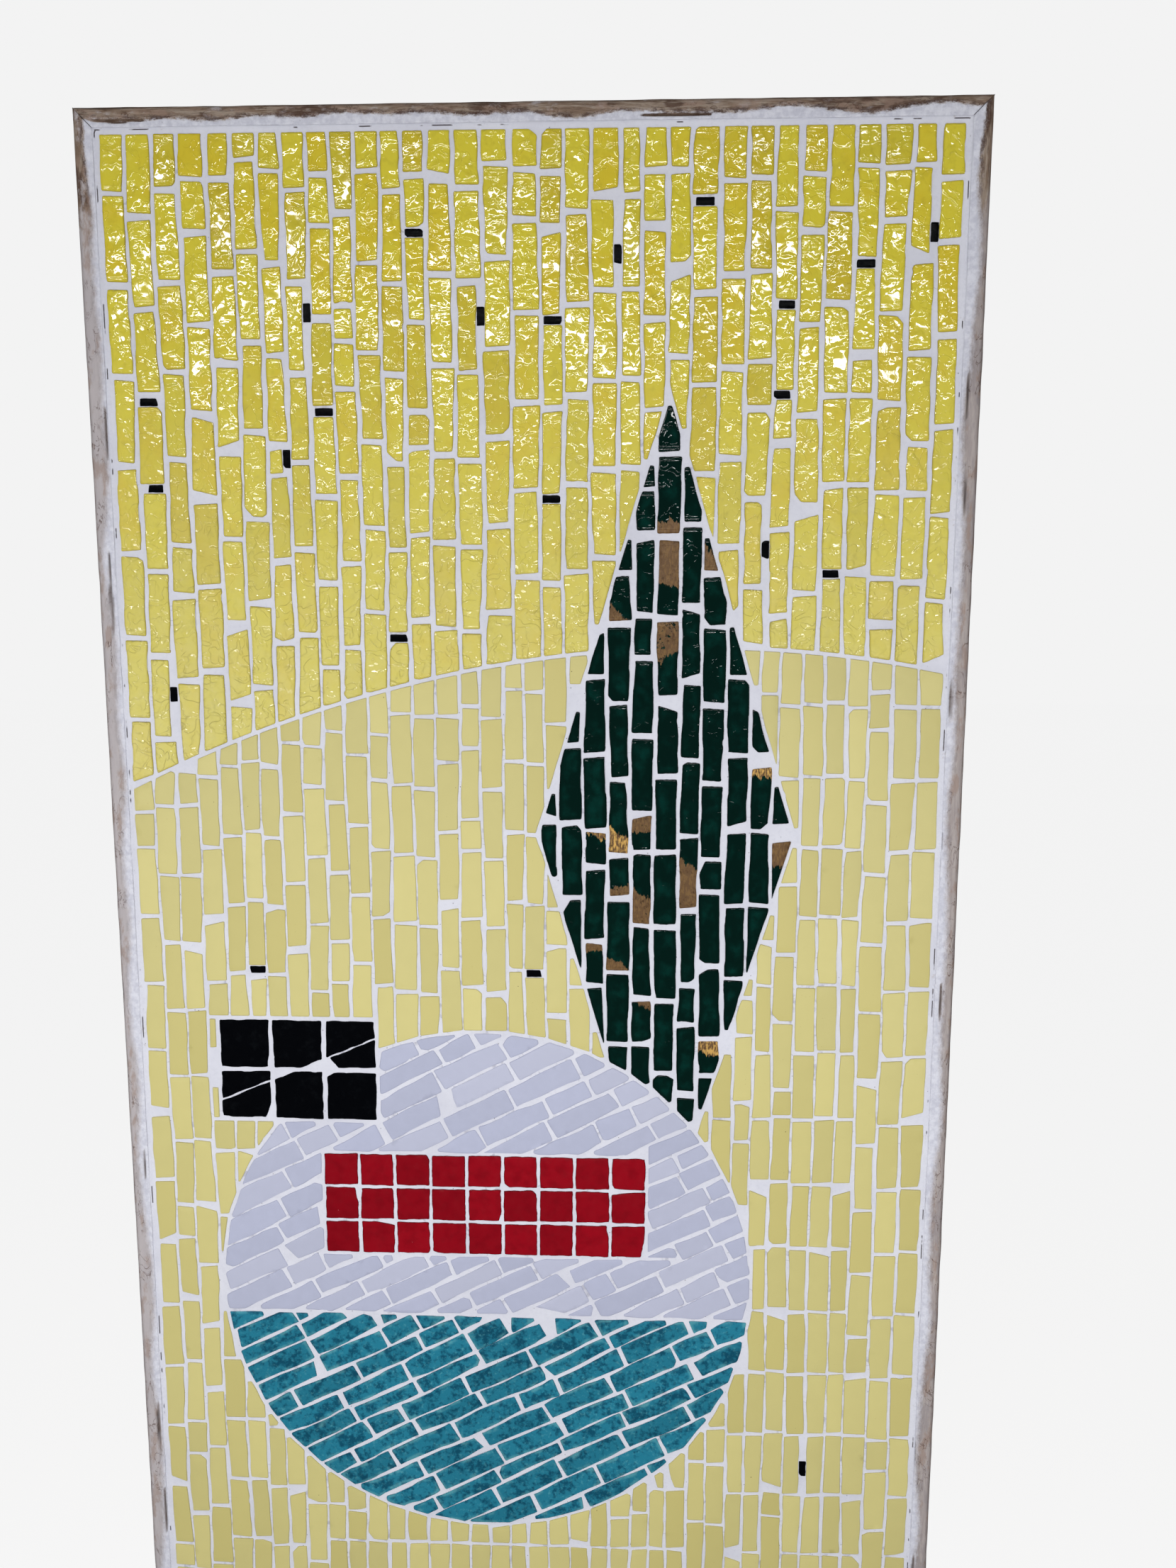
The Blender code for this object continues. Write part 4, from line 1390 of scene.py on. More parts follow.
def green_glaze(glazes):
    made = Glaze("dark_green_glaze", roughness=0.06)
    thin = made.cloud(made.place, 9, 3.0).fade(0.42, 0.80) * made.edge.fade(0.6, 3.2)
    shade = made.mix(glazes.green, glazes.emerald, thin * 0.6 + 0.04)
    shade = made.mix(shade, GREEN_RIM, made.edge.fade(1.0, 0.0) * 0.8)
    leaf = made.attribute("leaf")
    torn = made.stretched(made.place, (1.0, 1.0, 0.28))
    ragged = (made.cloud(torn, 1.6, 4.0, 0.7) - 0.5) * 9 + (made.cloud(torn, 5, 3.0) - 0.5) * 8
    covered = (leaf + ragged).fade(-0.15, 0.35)
    scratch = made.cloud(torn, 0.9, 3.0, 0.6)
    worn = covered * (made.cloud(made.place, 2.2, 4.0, 0.7) + made.tone * 0.2).fade(0.36, 0.46)
    gold = made.tone.fade(0.70, 0.74) * 0.85 + 0.12
    bronze = made.mix(glazes.bronze, GOLD, scratch.fade(0.42, 0.62) * gold)
    bronze = made.mix(bronze, WORN_BRONZE, made.cloud(made.place, 3.0, 4.0, 0.7).fade(0.54, 0.70))
    shade = made.mix(shade, bronze, worn)
    height = made.cloud(made.place, 8, 1.0) * 0.55 + made.cloud(made.place, 3.4, 1.0) * 0.14
    height = height + made.veins(6.5, 0.06, 0.06) + made.bead(1.0, 0.8, 0.10) + made.bead(2.6, 0.7, 0.06)
    made.relief(height + worn * scratch * 0.10)
    return made.finish(Base_Color=shade, Roughness=worn * 0.36 + 0.05, Metallic=worn * 0.22)


def lilac_glaze(glazes):
    made = Glaze("lilac_white_glaze", roughness=0.34)
    tone = made.tone * 0.09 + 0.94 + made.cloud(made.place, 7, 4.0, 0.6).fade(0.25, 0.8) * 0.05
    shade = made.shaded(glazes.lilac, tone)
    shade = made.mix(shade, LIGHT_LILAC, made.hue.fade(0.4, 1.0) * 0.5)
    shade = made.mix(shade, LILAC_RIM, made.edge.fade(0.8, 0.0) * 0.40)
    shade = made.mix(shade, LILAC_SPECK, made.specks(made.place, 9, 0.35, 0.25) * 0.8)
    made.relief(made.wrinkles(8, 0.04) + made.cloud(made.place, 1.5, 2.0) * 0.012)
    rough = made.cloud(made.place, 4, 2.0).fade(0.3, 0.8) * 0.12 + 0.30
    return made.finish(Base_Color=shade, Roughness=rough)


def teal_glaze(glazes):
    made = Glaze("teal_glaze", roughness=0.3)
    mottle = made.cloud(made.place, 3.0, 5.0, 0.65) * 0.6 + made.cloud(made.place, 10, 2.0) * 0.4
    shade = made.mix(glazes.teal, glazes.deep_teal, mottle.fade(0.45, 0.60) * 0.9)
    shade = made.mix(shade, THIN_TEAL, made.cloud(made.place, 2.2, 5.0, 0.7).fade(0.54, 0.72) * 0.55)
    breaks = made.edge.fade(2.4, 0.6) * made.cloud(made.place, 9, 2.0).fade(0.48, 0.62)
    shade = made.mix(shade, TEAL_BREAK, breaks * 0.5)
    shade = made.shaded(shade, made.tone * 0.20 + 0.90)
    shade = made.mix(shade, TEAL_RIM, made.edge.fade(0.55, 0.0) * 0.6)
    shade = made.mix(shade, TEAL_SPECK, made.specks(made.place, 8, 0.4, 0.2) * 0.8)
    made.relief(made.wrinkles(8, 0.05) + made.cloud(made.place, 1.5, 2.0) * 0.014)
    rough = mottle.fade(0.3, 0.7) * 0.14 + 0.26
    return made.finish(Base_Color=shade, Roughness=rough)


def red_glaze(glazes):
    made = Glaze("deep_red_glaze", roughness=0.16)
    shade = made.shaded(glazes.red, made.tone * 0.28 + 0.80)
    shade = made.mix(shade, DARK_RED, made.cloud(made.place, 7, 3.0).fade(0.4, 0.75) * 0.5)
    shade = made.mix(shade, RED_RIM, made.edge.fade(0.7, 0.0) * 0.8)
    pale = made.specks(made.place, 3.4, 0.22, 0.16) * made.cloud(made.place, 9, 1.0).fade(0.45, 0.6)
    shade = made.mix(shade, RED_CHIP, pale)
    made.relief(made.wrinkles(9, 0.03) + made.cloud(made.place, 0.9, 2.0) * 0.006 - pale * 0.05)
    rough = made.cloud(made.place, 4, 3.0).fade(0.3, 0.8) * 0.12 + 0.14
    return made.finish(Base_Color=shade, Roughness=rough)


def black_glaze(glazes):
    made = Glaze("black_glaze", roughness=0.3, specular=0.04)
    shade = made.mix(glazes.black, SOFT_BLACK, made.cloud(made.place, 6, 4.0, 0.6).fade(0.5, 0.8))
    pale = made.specks(made.place, 3.0, 0.16, 0.10) * made.cloud(made.place, 12, 1.0).fade(0.5, 0.62)
    shade = made.mix(shade, BLACK_CHIP, pale * 0.8)
    made.relief(made.wrinkles(9, 0.03) + made.wrinkles(2.4, 0.02) - pale * 0.05)
    rough = made.cloud(made.place, 4, 3.0).fade(0.3, 0.8) * 0.2 + 0.22
    return made.finish(Base_Color=shade, Roughness=rough)


def grout_finish(settings):
    made = Finish("grout", roughness=0.85, specular=0.08)
    gap, wall, pitted = made.attribute("gap"), made.attribute("wall"), made.attribute("pitted")
    dirt = made.cloud(made.place, 38, 4.0, 0.6).fade(0.35, 0.75)
    shade = made.mix(settings.pale, settings.cool, dirt * 0.5 + 0.10)
    shade = made.mix(shade, settings.cool, made.cloud(made.place, 2.2, 4.0, 0.65).fade(0.45, 0.75) * 0.35)
    # Painted shadow: the grout is darkened in patches within a fraction of a mm of each tile, where the
    # tile's step would cast shade
    shaded = gap.fade(0.22, 0.0) * made.cloud(made.place, 4, 3.0).fade(0.45, 0.7)
    shade = made.mix(shade, PAINTED_GROUT_SHADOW, shaded * 0.5)
    pits = made.specks(made.place, 2.6, 0.30, 0.10) * pitted
    pits = pits + made.specks(made.moved(made.place, (0.1, 0.3, 0.2)), 7, 0.32, 0.10)
    shade = made.mix(shade, GROUT_PIT, pits * 0.85)
    stained = made.cloud(made.place, 9, 5.0, 0.7).fade(0.62, 0.75) * wall.fade(3.5, 0.5)
    shade = made.mix(shade, GROUT_STAIN, stained * 0.7)
    # Painted shade: short dark dashes in a hairline gap just inside the rails; the relief sinks them a
    # little, and the dark colour paints their shade
    dash = abs(wall - 1.25).fade(0.32, 0.14) * made.cloud(made.place, 13, 2.0, 0.6).fade(0.59, 0.63)
    shade = made.mix(shade, PAINTED_GAP_SHADE, dash * 0.9)
    sand = made.cloud(made.place, 0.7, 3.0, 0.6) * 0.02 + made.cloud(made.place, 5, 3.0) * 0.12
    made.relief(sand - pits * 0.35 - dash * 0.3)
    return made.finish(Base_Color=shade)


def wood_finish(settings, grout):
    made = Finish("weathered_wood", roughness=0.75, specular=0.08)
    along, around, depth = made.attribute("along"), made.attribute("around"), made.attribute("depth")
    height = made.part(made.place, 2)
    right = made.part(made.place, 0).fade(0.0, 0.2)
    ragged = made.vector(along * 0.45, around, depth)
    fibres = made.cloud(made.vector(along * 0.06, around, depth), 0.5, 4.0, 0.65, 0.3)
    bands = made.cloud(made.vector(along * 0.12, around, depth), 2.4, 4.0, 0.6, 0.8)
    patches = made.cloud(made.vector(along * 0.4, around, depth), 12, 4.0, 0.6)
    shade = made.mix(settings.brown, settings.grey, bands.fade(0.42, 0.62) * 0.8)
    shade = made.mix(shade, WOOD_PATCH, patches.fade(0.48, 0.58) * 0.8)
    shade = made.mix(shade, settings.dark, fibres.fade(0.52, 0.66) * 0.6)
    shade = made.mix(shade, WOOD_FIBRE, fibres.fade(0.44, 0.32) * 0.4)
    knot = made.attribute("knot") * (made.cloud(made.place, 2, 3.0).fade(0.3, 0.6) * 0.4 + 0.5)
    shade = made.mix(shade, settings.dark, knot)
    film = (made.cloud(made.place, 20, 4.0, 0.6) - 0.45) * 1.6 + (made.cloud(ragged, 3, 4.0, 0.7) - 0.5) * 1.6
    below_top = height.fade(0.445, 0.36) * 0.95
    washed = (film + below_top - 0.15).fade(0.0, 0.5) * (0.85 - right * 0.30)
    shade = made.mix(shade, settings.wash, washed)
    stained = made.cloud(ragged, 7, 4.0, 0.65).fade(0.50, 0.62) * 0.55
    shade = made.mix(shade, WOOD_STAIN, stained + around.fade(0.028, 0.022) * right * 0.45)
    # Painted shade: the wood is darkened along its rounded outer edge, broken up by the grain
    shade = made.mix(shade, PAINTED_EDGE_SHADE, around.fade(0.0365, 0.0320) * fibres.fade(0.36, 0.56) * 0.8)
    lines = made.cloud(made.vector(along * 0.5, around, depth), 9, 3.0, 0.6, 1.5)
    scratch = abs(lines - 0.5).fade(0.020, 0.0) * made.cloud(made.place, 16, 1.0).fade(0.46, 0.60)
    shade = made.mix(shade, WOOD_SCRATCH, scratch * 0.8)
    torn = made.attribute("smear") + (made.cloud(ragged, 1.8, 5.0, 0.7) - 0.5) * 4.5
    covered = (torn / (height.fade(0.45, 0.38) * 2.0 + 1)).fade(-0.8, 0.9)
    thin = torn.fade(-2.6, 0.6) * made.cloud(made.place, 0.9, 3.0, 0.6).fade(0.36, 0.60) * 0.65
    lower = height.fade(0.445, 0.37)
    beside = torn.fade(-3.4, -1.0) * torn.fade(0.1, -0.3)
    flaked = (1 - lower * 0.7) * beside * made.cloud(ragged, 3.0, 4.0, 0.7).fade(0.44, 0.56)
    shade = made.mix(shade, WOOD_FLAKE, flaked * 0.85)
    shade = made.mix(shade, settings.wash, thin * (1 - flaked * 0.7))
    paste = made.mix(grout.cool, grout.pale, made.cloud(made.place, 3, 4.0, 0.6).fade(0.3, 0.7))
    flecks = made.cloud(made.vector(along * 0.25, around, depth), 0.8, 4.0, 0.7).fade(0.66, 0.72)
    flecks = flecks * torn.fade(3.0, 0.6)
    shade = made.mix(shade, paste, covered)
    shade = made.mix(shade, SMEAR_FLECK, flecks * covered * 0.85)
    # Painted shade: cracks and the slits beside the grout are painted dark for the shade inside them; they
    # are also sunk into the wood
    shade = made.mix(shade, PAINTED_CRACK_SHADE, made.attribute("crack") * 0.92)
    made.relief(fibres * -0.16 + bands * 0.10 + covered * 0.07 - flecks * 0.12 - scratch * 0.06)
    return made.finish(Base_Color=shade, Roughness=covered * 0.08 + 0.72)


def board_finish():
    made = Finish("pine_board", roughness=0.7, specular=0.3)
    grain = made.stretched(made.place, (1.0, 1.0, 0.06))
    lines = made.cloud(grain, 1.6, 4.0, 0.6, 0.5)
    bands = made.cloud(grain, 16, 3.0, 0.5, 1.2)
    shade = made.mix(PINE, DARK_PINE, bands.fade(0.35, 0.65))
    shade = made.mix(shade, PINE_LINE, lines.fade(0.50, 0.70) * 0.6)
    shade = made.mix(shade, PINE_GREY, made.cloud(made.place, 60, 5.0, 0.6).fade(0.45, 0.7) * 0.5)
    made.relief(lines * 0.10)
    return made.finish(Base_Color=shade)


# Grout


def nearest_edges(points, tiles):
    """How far each point lies outside the nearest tile: negative inside it."""
    rings = [tile.fine[::2] for tile in tiles]
    starts = np.vstack(rings)
    ends = np.vstack([np.roll(ring, -1, axis=0) for ring in rings])
    befores = np.vstack([np.roll(ring, 1, axis=0) for ring in rings])
    inwards = np.vstack([ways_in(ring) for ring in rings])
    tree = KDTree(len(starts))
    for number, (x, z) in enumerate(starts):
        tree.insert((x, z, 0.0), number)
    tree.balance()
    nearest = np.array([tree.find((x, z, 0.0))[1] for x, z in points])

    def reach(p, q):
        way = q - p
        share = np.clip(((points - p) * way).sum(axis=1) / np.maximum((way**2).sum(axis=1), 1e-14), 0, 1)
        return np.linalg.norm(points - p - share[:, None] * way, axis=1)

    start = starts[nearest]
    apart = np.minimum(reach(start, ends[nearest]), reach(befores[nearest], start))
    return np.where(((points - start) * inwards[nearest]).sum(axis=1) > 0, -apart, apart)


# How far the grout reaches past the field and under a tile, and how far from one its loose points lie
GROUT_REACH = 0.0008
TUCK = 0.00012
LOOSE_CLEARANCE = 0.00048
BORDER_SPACING = 0.002

# How the grout dips between tiles, wanders, stands flush in each part, and climbs the rails
HOLLOW_REACH = 0.0008
SLOW_UNEVEN = (0.00007, 0.013)
QUICK_UNEVEN = (0.00004, 0.004)
FLUSH_SHAPES = ("white", "teal", "red", "black")
FLUSH_HIGH = 0.00018
FLUSH_LOW = 0.00008
WALL_FILLET = 0.0034
WALL_RISE = 0.00160
HIGHEST_GROUT = 0.00166

# A distance that stands for far from every tile and rail
FAR_MM = 9.0

# Pits are few above the hill line, and become as many as they get within this height under it
FEWEST_PITS = 0.15
PITS_FADE = 0.02


def evenly_spaced_corners(width, height, spacing):
    """A rectangle's outline with its corners kept and points all along its sides."""
    points = []
    for (x1, z1), (x2, z2) in sides(rectangle(0, 0, width, height)):
        steps = round(math.dist((x1, z1), (x2, z2)) / spacing)
        points.extend((x1 + (x2 - x1) * n / steps, z1 + (z2 - z1) * n / steps) for n in range(steps))
    return np.array(points)


def lasting(x, z, size, seed):
    """Smooth noise between about -1 and 1 with patches of a size."""
    return noise.noise(Vector((x / size + seed, z / size - seed, seed * 0.37)))


def grout_rise(x, z, gap, wall, settings):
    """How far the grout's surface stands in front of its bed."""
    hollow = settings.hollow * (1 - math.exp(-gap / HOLLOW_REACH))
    uneven = SLOW_UNEVEN[0] * lasting(x, z, SLOW_UNEVEN[1], 3.1)
    uneven += QUICK_UNEVEN[0] * lasting(x, z, QUICK_UNEVEN[1], 7.7)
    flush = FLUSH_HIGH if zone_at((x, z)) in FLUSH_SHAPES else FLUSH_LOW
    near = max(0.0, 1 - wall / WALL_FILLET)
    fillet = WALL_RISE * near**1.6 * (0.90 + 0.25 * lasting(x, z, 0.020, 5.3))
    return min(flush - hollow + uneven + fillet, HIGHEST_GROUT)


def grout_piece(settings, material):
    """The grout: its front follows every joint, and its back lies flat on the board."""
    tiles = [tile for zone_tiles in cut_tiles().values() for tile in zone_tiles]
    half_width, half_height = FIELD_HALF_WIDTH + GROUT_REACH, FIELD_HALF_HEIGHT + GROUT_REACH
    border = evenly_spaced_corners(2 * half_width, 2 * half_height, BORDER_SPACING)
    count = len(border)
    loose = hexagonal(*box_of(FIELD), settings.grid, (0.3, 0.6))
    loose = loose[nearest_edges(loose, tiles) > LOOSE_CLEARANCE]
    loops = [tile.ring + ways_in(tile.ring) * TUCK for tile in tiles]
    everything = np.vstack([border, loose] + loops)
    starts = np.cumsum([count + len(loose)] + [len(loop) for loop in loops])
    faces = [list(range(start, start + len(loop))) for start, loop in zip(starts, loops)]
    rim = [(n, (n + 1) % count) for n in range(count)]
    found = delaunay_2d_cdt([Vector(point) for point in everything], rim, faces, 0, 1e-7, True)
    flat = np.array([tuple(point) for point in found[0]])
    gap = np.maximum(nearest_edges(flat, tiles), 0.0)
    wall = np.minimum(half_width - np.abs(flat[:, 0]), half_height - np.abs(flat[:, 1]))
    rise = np.array([grout_rise(x, z, g, w, settings) for (x, z), g, w in zip(flat, gap, wall)])
    pitted = np.clip((hill_height(flat[:, 0]) - flat[:, 1]) / PITS_FADE, FEWEST_PITS, 1.0)
    pile = Pile()
    front = np.column_stack((flat[:, 0], BED_FRONT_Y - rise, flat[:, 1]))
    pile.add(front, [tuple(face) for face in found[2]], gap=gap * 1000, wall=wall * 1000, pitted=pitted)
    came_from = {old: number for number, olds in enumerate(found[3]) for old in olds if old < count}
    base = pile.count
    back = np.column_stack((border[:, 0], np.full(count, BED_BACK_Y), border[:, 1]))
    pile.add(back, [], gap=FAR_MM, wall=0.0, pitted=0.0)
    pile.add([(0.0, BED_BACK_Y, 0.0)], [], gap=FAR_MM, wall=FAR_MM, pitted=0.0)
    for n in range(count):
        after = (n + 1) % count
        pile.faces.append((came_from[n], base + n, base + after, came_from[after]))
        pile.faces.append((base + after, base + n, base + count))
    return pile.piece("grout", material, "grout")


# Rails: a section is a list of (depth, rise), with its way out; a rail's own X runs along it

RAIL_SEED = 401
SECTION_STEP = 0.0011
SHARP_ROUND = 0.0004
BACK_ROUND = 0.0006

# Where a rail's surface counts as its front or its inner side, and how it lies in the smears in mm
FRONT_WAY = -0.3
INNER_WAY = -0.9
WELL_SMEARED = 3.0
NEVER_SMEARED = -9.0
SMEAR_FULL_AT = 2.4

# How far the wood lies inside the solid, how deep its damage goes, and how far knots and smears stand up
WOOD_INSET = 0.00035
LEAST_INSET = 0.00004
CRACK_DEPTH = 0.0005
NICK_DEPTH = 0.0009
KNOT_RISE = 0.00015
SMEAR_RISE = 0.00022

# How often knots, cracks and nicks come along a rail, and their sizes
FIRST_KNOT = (0.02, 0.06)
KNOT_SPACING = (0.06, 0.16)
KNOT_SIZE = (0.0022, 0.0050)
CRACK_SPACING = 0.045
CRACK_REACH = (0.008, 0.05)
CRACK_PLACE = (0.0, 0.024)
CRACK_LEAN = (-0.05, 0.05)
SLIT_REACH = (0.010, 0.022)
SLIT_PLACE_MM = (1.5, 4.5)
NICK_SPACING = 0.09
NICK_PLACE = (0.013, 0.022)
NICK_SIZE = (0.0012, 0.0030)

# Each rail's turn, length and reach, how far grout is smeared over its front (mean, spread and
# patch length in mm), and how many long gaps there are beside the grout
RAILS = {
    "rail_top": (0, PANEL_WIDTH, PANEL_HEIGHT / 2, 4.2, 1.4, 40.0, 2),
    "rail_right": (90, PANEL_HEIGHT, PANEL_WIDTH / 2, 4.6, 1.9, 60.0, 5),
    "rail_bottom": (180, PANEL_WIDTH, PANEL_HEIGHT / 2, 4.0, 2.8, 50.0, 2),
    "rail_left": (270, PANEL_HEIGHT, PANEL_WIDTH / 2, 3.6, 3.0, 70.0, 9),
}


def arc(depth, rise, radius, start, end):
    """Points around a rounded edge with their ways out, from one angle to another in degrees."""
    steps = max(3, round(math.radians(abs(end - start)) * radius / (0.7 * SECTION_STEP)))
    points = []
    for n in range(steps + 1):
        turn = math.radians(start + (end - start) * n / steps)
        way = (math.cos(turn), math.sin(turn))
        points.append((depth + radius * way[0], rise + radius * way[1], *way))
    return points


def straight(start, end, way):
    """Points strictly between two ends of a straight side."""
    steps = max(2, round(math.dist(start, end) / SECTION_STEP))
    return [
        (start[0] + (end[0] - start[0]) * n / steps, start[1] + (end[1] - start[1]) * n / steps, *way)
        for n in range(1, steps)
    ]


def rail_section(reach):
    """A rail's cross-section from its back, over the outer side and the front, to the inner side."""
    front, outer, inner = -RAIL_DEPTH, reach, reach - RAIL_WIDTH
    far, near, back = RAIL_OUTER_ROUND, SHARP_ROUND, BACK_ROUND
    section = arc(-back, inner + back, back, 270, 360)
    section += straight((0, inner + back), (0, outer - back), (1, 0))
    section += arc(-back, outer - back, back, 0, 90)
    section += straight((-back, outer), (front + far, outer), (0, 1))
    section += arc(front + far, outer - far, far, 90, 180)
    section += straight((front, outer - far), (front, inner + near), (-1, 0))
    section += arc(front + near, inner + near, near, 180, 270)
    section += straight((front + near, inner), (-back, inner), (0, -1))
    return section


class Timber:
    """What one rail's wood is like along its length."""

    def __init__(self, number, length, smear, slits):
        rng = random.Random(RAIL_SEED + number)
        self.shift = 13.7 * number
        self.smear = smear
        self.knots = []
        at = -length / 2 + rng.uniform(*FIRST_KNOT)
        while at < length / 2:
            self.knots.append((at, rng.uniform(0.1, 0.9), rng.uniform(*KNOT_SIZE)))
            at += rng.uniform(*KNOT_SPACING)

        def scattered(count, *ranges):
            whole = ((-length / 2, length / 2), *ranges)
            return [tuple(rng.uniform(*limits) for limits in whole) for _ in range(count)]

        self.cracks = scattered(round(length / CRACK_SPACING), CRACK_REACH, CRACK_PLACE, CRACK_LEAN)
        self.slits = scattered(slits, SLIT_REACH, SLIT_PLACE_MM)
        self.nicks = scattered(round(length / NICK_SPACING), NICK_PLACE, NICK_SIZE)

    def knot(self, x, around):
        """1 in the middle of a knot on the face, 0 well outside it."""
        most = 0.0
        for at, place, size in self.knots:
            if abs(x - at) < 4 * size:
                reach = math.hypot((x - at) / (1.6 * size), (around - 0.019 - 0.008 * place) / (0.8 * size))
                most = max(most, math.exp(-(reach**2)))
        return most

    def crack(self, x, around):
        """1 in the bottom of a split along the grain."""
        most = 0.0
        for middle, reach, place, lean in self.cracks:
            if abs(x - middle) < reach:
                taper = 1 - ((x - middle) / reach) ** 2
                wander = 0.0005 * lasting(x, place, 0.012, self.shift)
                apart = abs(around - 0.010 - place - lean * (x - middle) - wander)
                most = max(most, taper * math.exp(-((apart / (0.00035 + 0.0003 * taper)) ** 2)))
        return most

    def slit(self, x, inwards):
        """1 in a long dark gap where smeared grout has come off the wood."""
        most = 0.0
        for at, reach, place in self.slits:
            if abs(x - at) < reach:
                taper = 1 - ((x - at) / reach) ** 2
                wander = 0.3 * lasting(x, place, 0.008, self.shift + 4)
                apart = inwards * 1000 - place - wander
                most = max(most, math.exp(-((apart / (0.15 + 0.5 * taper)) ** 2)) * taper**0.3)
        return most

    def nick(self, x, around):
        """How deep a bruise in the outer edge is, from 0 to 1."""
        most = 0.0
        for at, place, size in self.nicks:
            if abs(x - at) < 3 * size:
                reach = ((x - at) / size) ** 2 + ((around - place) / (0.7 * size)) ** 2
                most = max(most, math.exp(-reach))
        return most

    def covered(self, x, inwards):
        """How far a place lies inside the smeared grout, in mm; inwards is from the rail's inner edge."""
        mean, spread, patch = self.smear
        edge = mean + spread * 2.6 * lasting(x, 0.0, patch / 1000, self.shift + 2.9)
        edge += 0.5 * lasting(x, 0.0, 0.007, self.shift + 8.3)
        return edge - inwards * 1000


def rail_piece(name, number, settings, material):
    """One rail with grain, knots, splits and bruises, mitred at both ends."""
    turn, length, reach, *smear, slits = RAILS[name]
    timber = Timber(number, length, smear, slits)
    section = rail_section(reach)
    rounds = [math.dist(p[:2], q[:2]) for p, q in zip(section, section[1:])]
    arounds = np.concatenate(([0.0], np.cumsum(rounds)))
    stations = max(8, round(length / settings.grid))
    gap = FIT_GAP / math.sqrt(2)
    points, along, covers, knots, cracks = [], [], [], [], []
    for n in range(stations + 1):
        share = 2 * n / stations - 1
        for (depth, rise, out_y, out_z), around in zip(section, arounds):
            half = length / 2 - gap - (reach - rise)
            x = share * half
            fibre = lasting(x * 0.08, around, 0.0011, timber.shift + 1)
            fibre += lasting(x * 0.2, around, 0.004, timber.shift)
            knot, crack, nick = timber.knot(x, around), timber.crack(x, around), timber.nick(x, around)
            on_front = out_y < FRONT_WAY
            inwards = rise - (reach - RAIL_WIDTH)
            slit = timber.slit(x, inwards) if on_front else 0.0
            crack = max(crack, slit)
            cover = timber.covered(x, inwards) - 6 * slit if on_front else NEVER_SMEARED
            if out_z < INNER_WAY and depth < BED_FRONT_Y + 0.001:
                cover = WELL_SMEARED
            sunk = WOOD_INSET + settings.relief * (fibre + 0.6)
            sunk += CRACK_DEPTH * crack + NICK_DEPTH * nick - KNOT_RISE * knot
            sunk -= SMEAR_RISE * min(1.0, max(0.0, cover / SMEAR_FULL_AT + 0.3))
            sunk = max(LEAST_INSET, sunk)
            points.append((x, depth - out_y * sunk, rise - out_z * sunk))
            along.append(x)
            covers.append(cover)
            knots.append(knot)
            cracks.append(crack if cover < 0.5 else 0.3 * crack)
    cos, sin = math.cos(math.radians(turn)), math.sin(math.radians(turn))
    placed = [(x * cos + z * sin, y, z * cos - x * sin) for x, y, z in points]
    count = len(section)
    faces = []
    for n in range(stations):
        for m in range(count):
            after = (m + 1) % count
            low, high = n * count, (n + 1) * count
            faces.append((low + m, high + m, high + after, low + after))
    faces.append(tuple(range(count)))
    faces.append(tuple(reversed(range(stations * count, (stations + 1) * count))))
    pile = Pile()
    pile.add(
        placed, faces, along=np.array(along) + timber.shift, around=np.tile(arounds, stations + 1),
        depth=[0.7 * point[1] for point in points], smear=covers, knot=knots, crack=cracks,
    )
    piece = pile.piece(name.replace("rail", "wood_rail"), material, "wood")
    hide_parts(name)
    return piece


# Stage

# What the room casts on matt things and shows in shiny ones
CAST_LIGHT = (0.18, 0.18, 0.182)
MIRRORED_ROOM = (0.03, 0.03, 0.035)

# The lamps' places, aims and sizes: one for the glints, one for soft shadows and one for the back
LONG_LAMP = {"x": -0.12, "y": -1.5, "aim": (0.0, 0.0, 0.15), "size": (1.6, 0.06)}
LOW_LAMP = {"place": (-0.05, -0.80, -0.12), "aim": (-0.05, 0.0, -0.12), "size": (1.6, 0.5)}
BACK_LAMP = {"place": (0.0, 1.3, 0.25), "aim": (0.0, 0.0, 0.0), "size": (0.8, 0.8)}
BACK_LAMP_SPREAD = 60

FLOOR_HALF_SIZE = 12.0
FLOOR_SHADES = ((0.150, 0.150, 0.150), (0.140, 0.140, 0.140))
FLOOR_PATCH_MM = 900

CAMERA_PLACE = (0.0580, -0.6995, 0.1851)
CAMERA_TURNS = (81.83, -0.06, 2.09)
SENSOR_WIDTH_MM = 36.0
NEAREST_SEEN = 0.01


def room_light(settings):
    """Pale where the camera sees it, and soft and even on the panel."""
    world = bpy.data.worlds.new("room")
    world.use_nodes = True
    bpy.context.scene.world = world
    world.node_tree.nodes.clear()
    made = NodeTree(world.node_tree)
    lights = (CAST_LIGHT, MIRRORED_ROOM, tuple(settings.backdrop))
    cast, mirrored, seen = [made.node("ShaderNodeBackground", None, {"Color": light}) for light in lights]
    glossy = made.node("ShaderNodeLightPath", output="Is Glossy Ray")
    camera = made.node("ShaderNodeLightPath", output="Is Camera Ray")
    unseen = made.node("ShaderNodeMixShader", None, {0: glossy, 1: cast, 2: mirrored})
    mixed = made.node("ShaderNodeMixShader", None, {0: camera, 1: unseen, 2: seen})
    made.node("ShaderNodeOutputWorld", None, {"Surface": mixed})


def lamp(name, place, aim, size, power):
    """A rectangular lamp that points from its place at its aim."""
    light = bpy.data.lights.new(name, "AREA")
    light.shape = "RECTANGLE"
    light.size, light.size_y = size
    light.energy = power
    made = add_object(name, light)
    made.location = place
    made.rotation_euler = (Vector(aim) - Vector(place)).to_track_quat("-Z", "Y").to_euler()
    return made


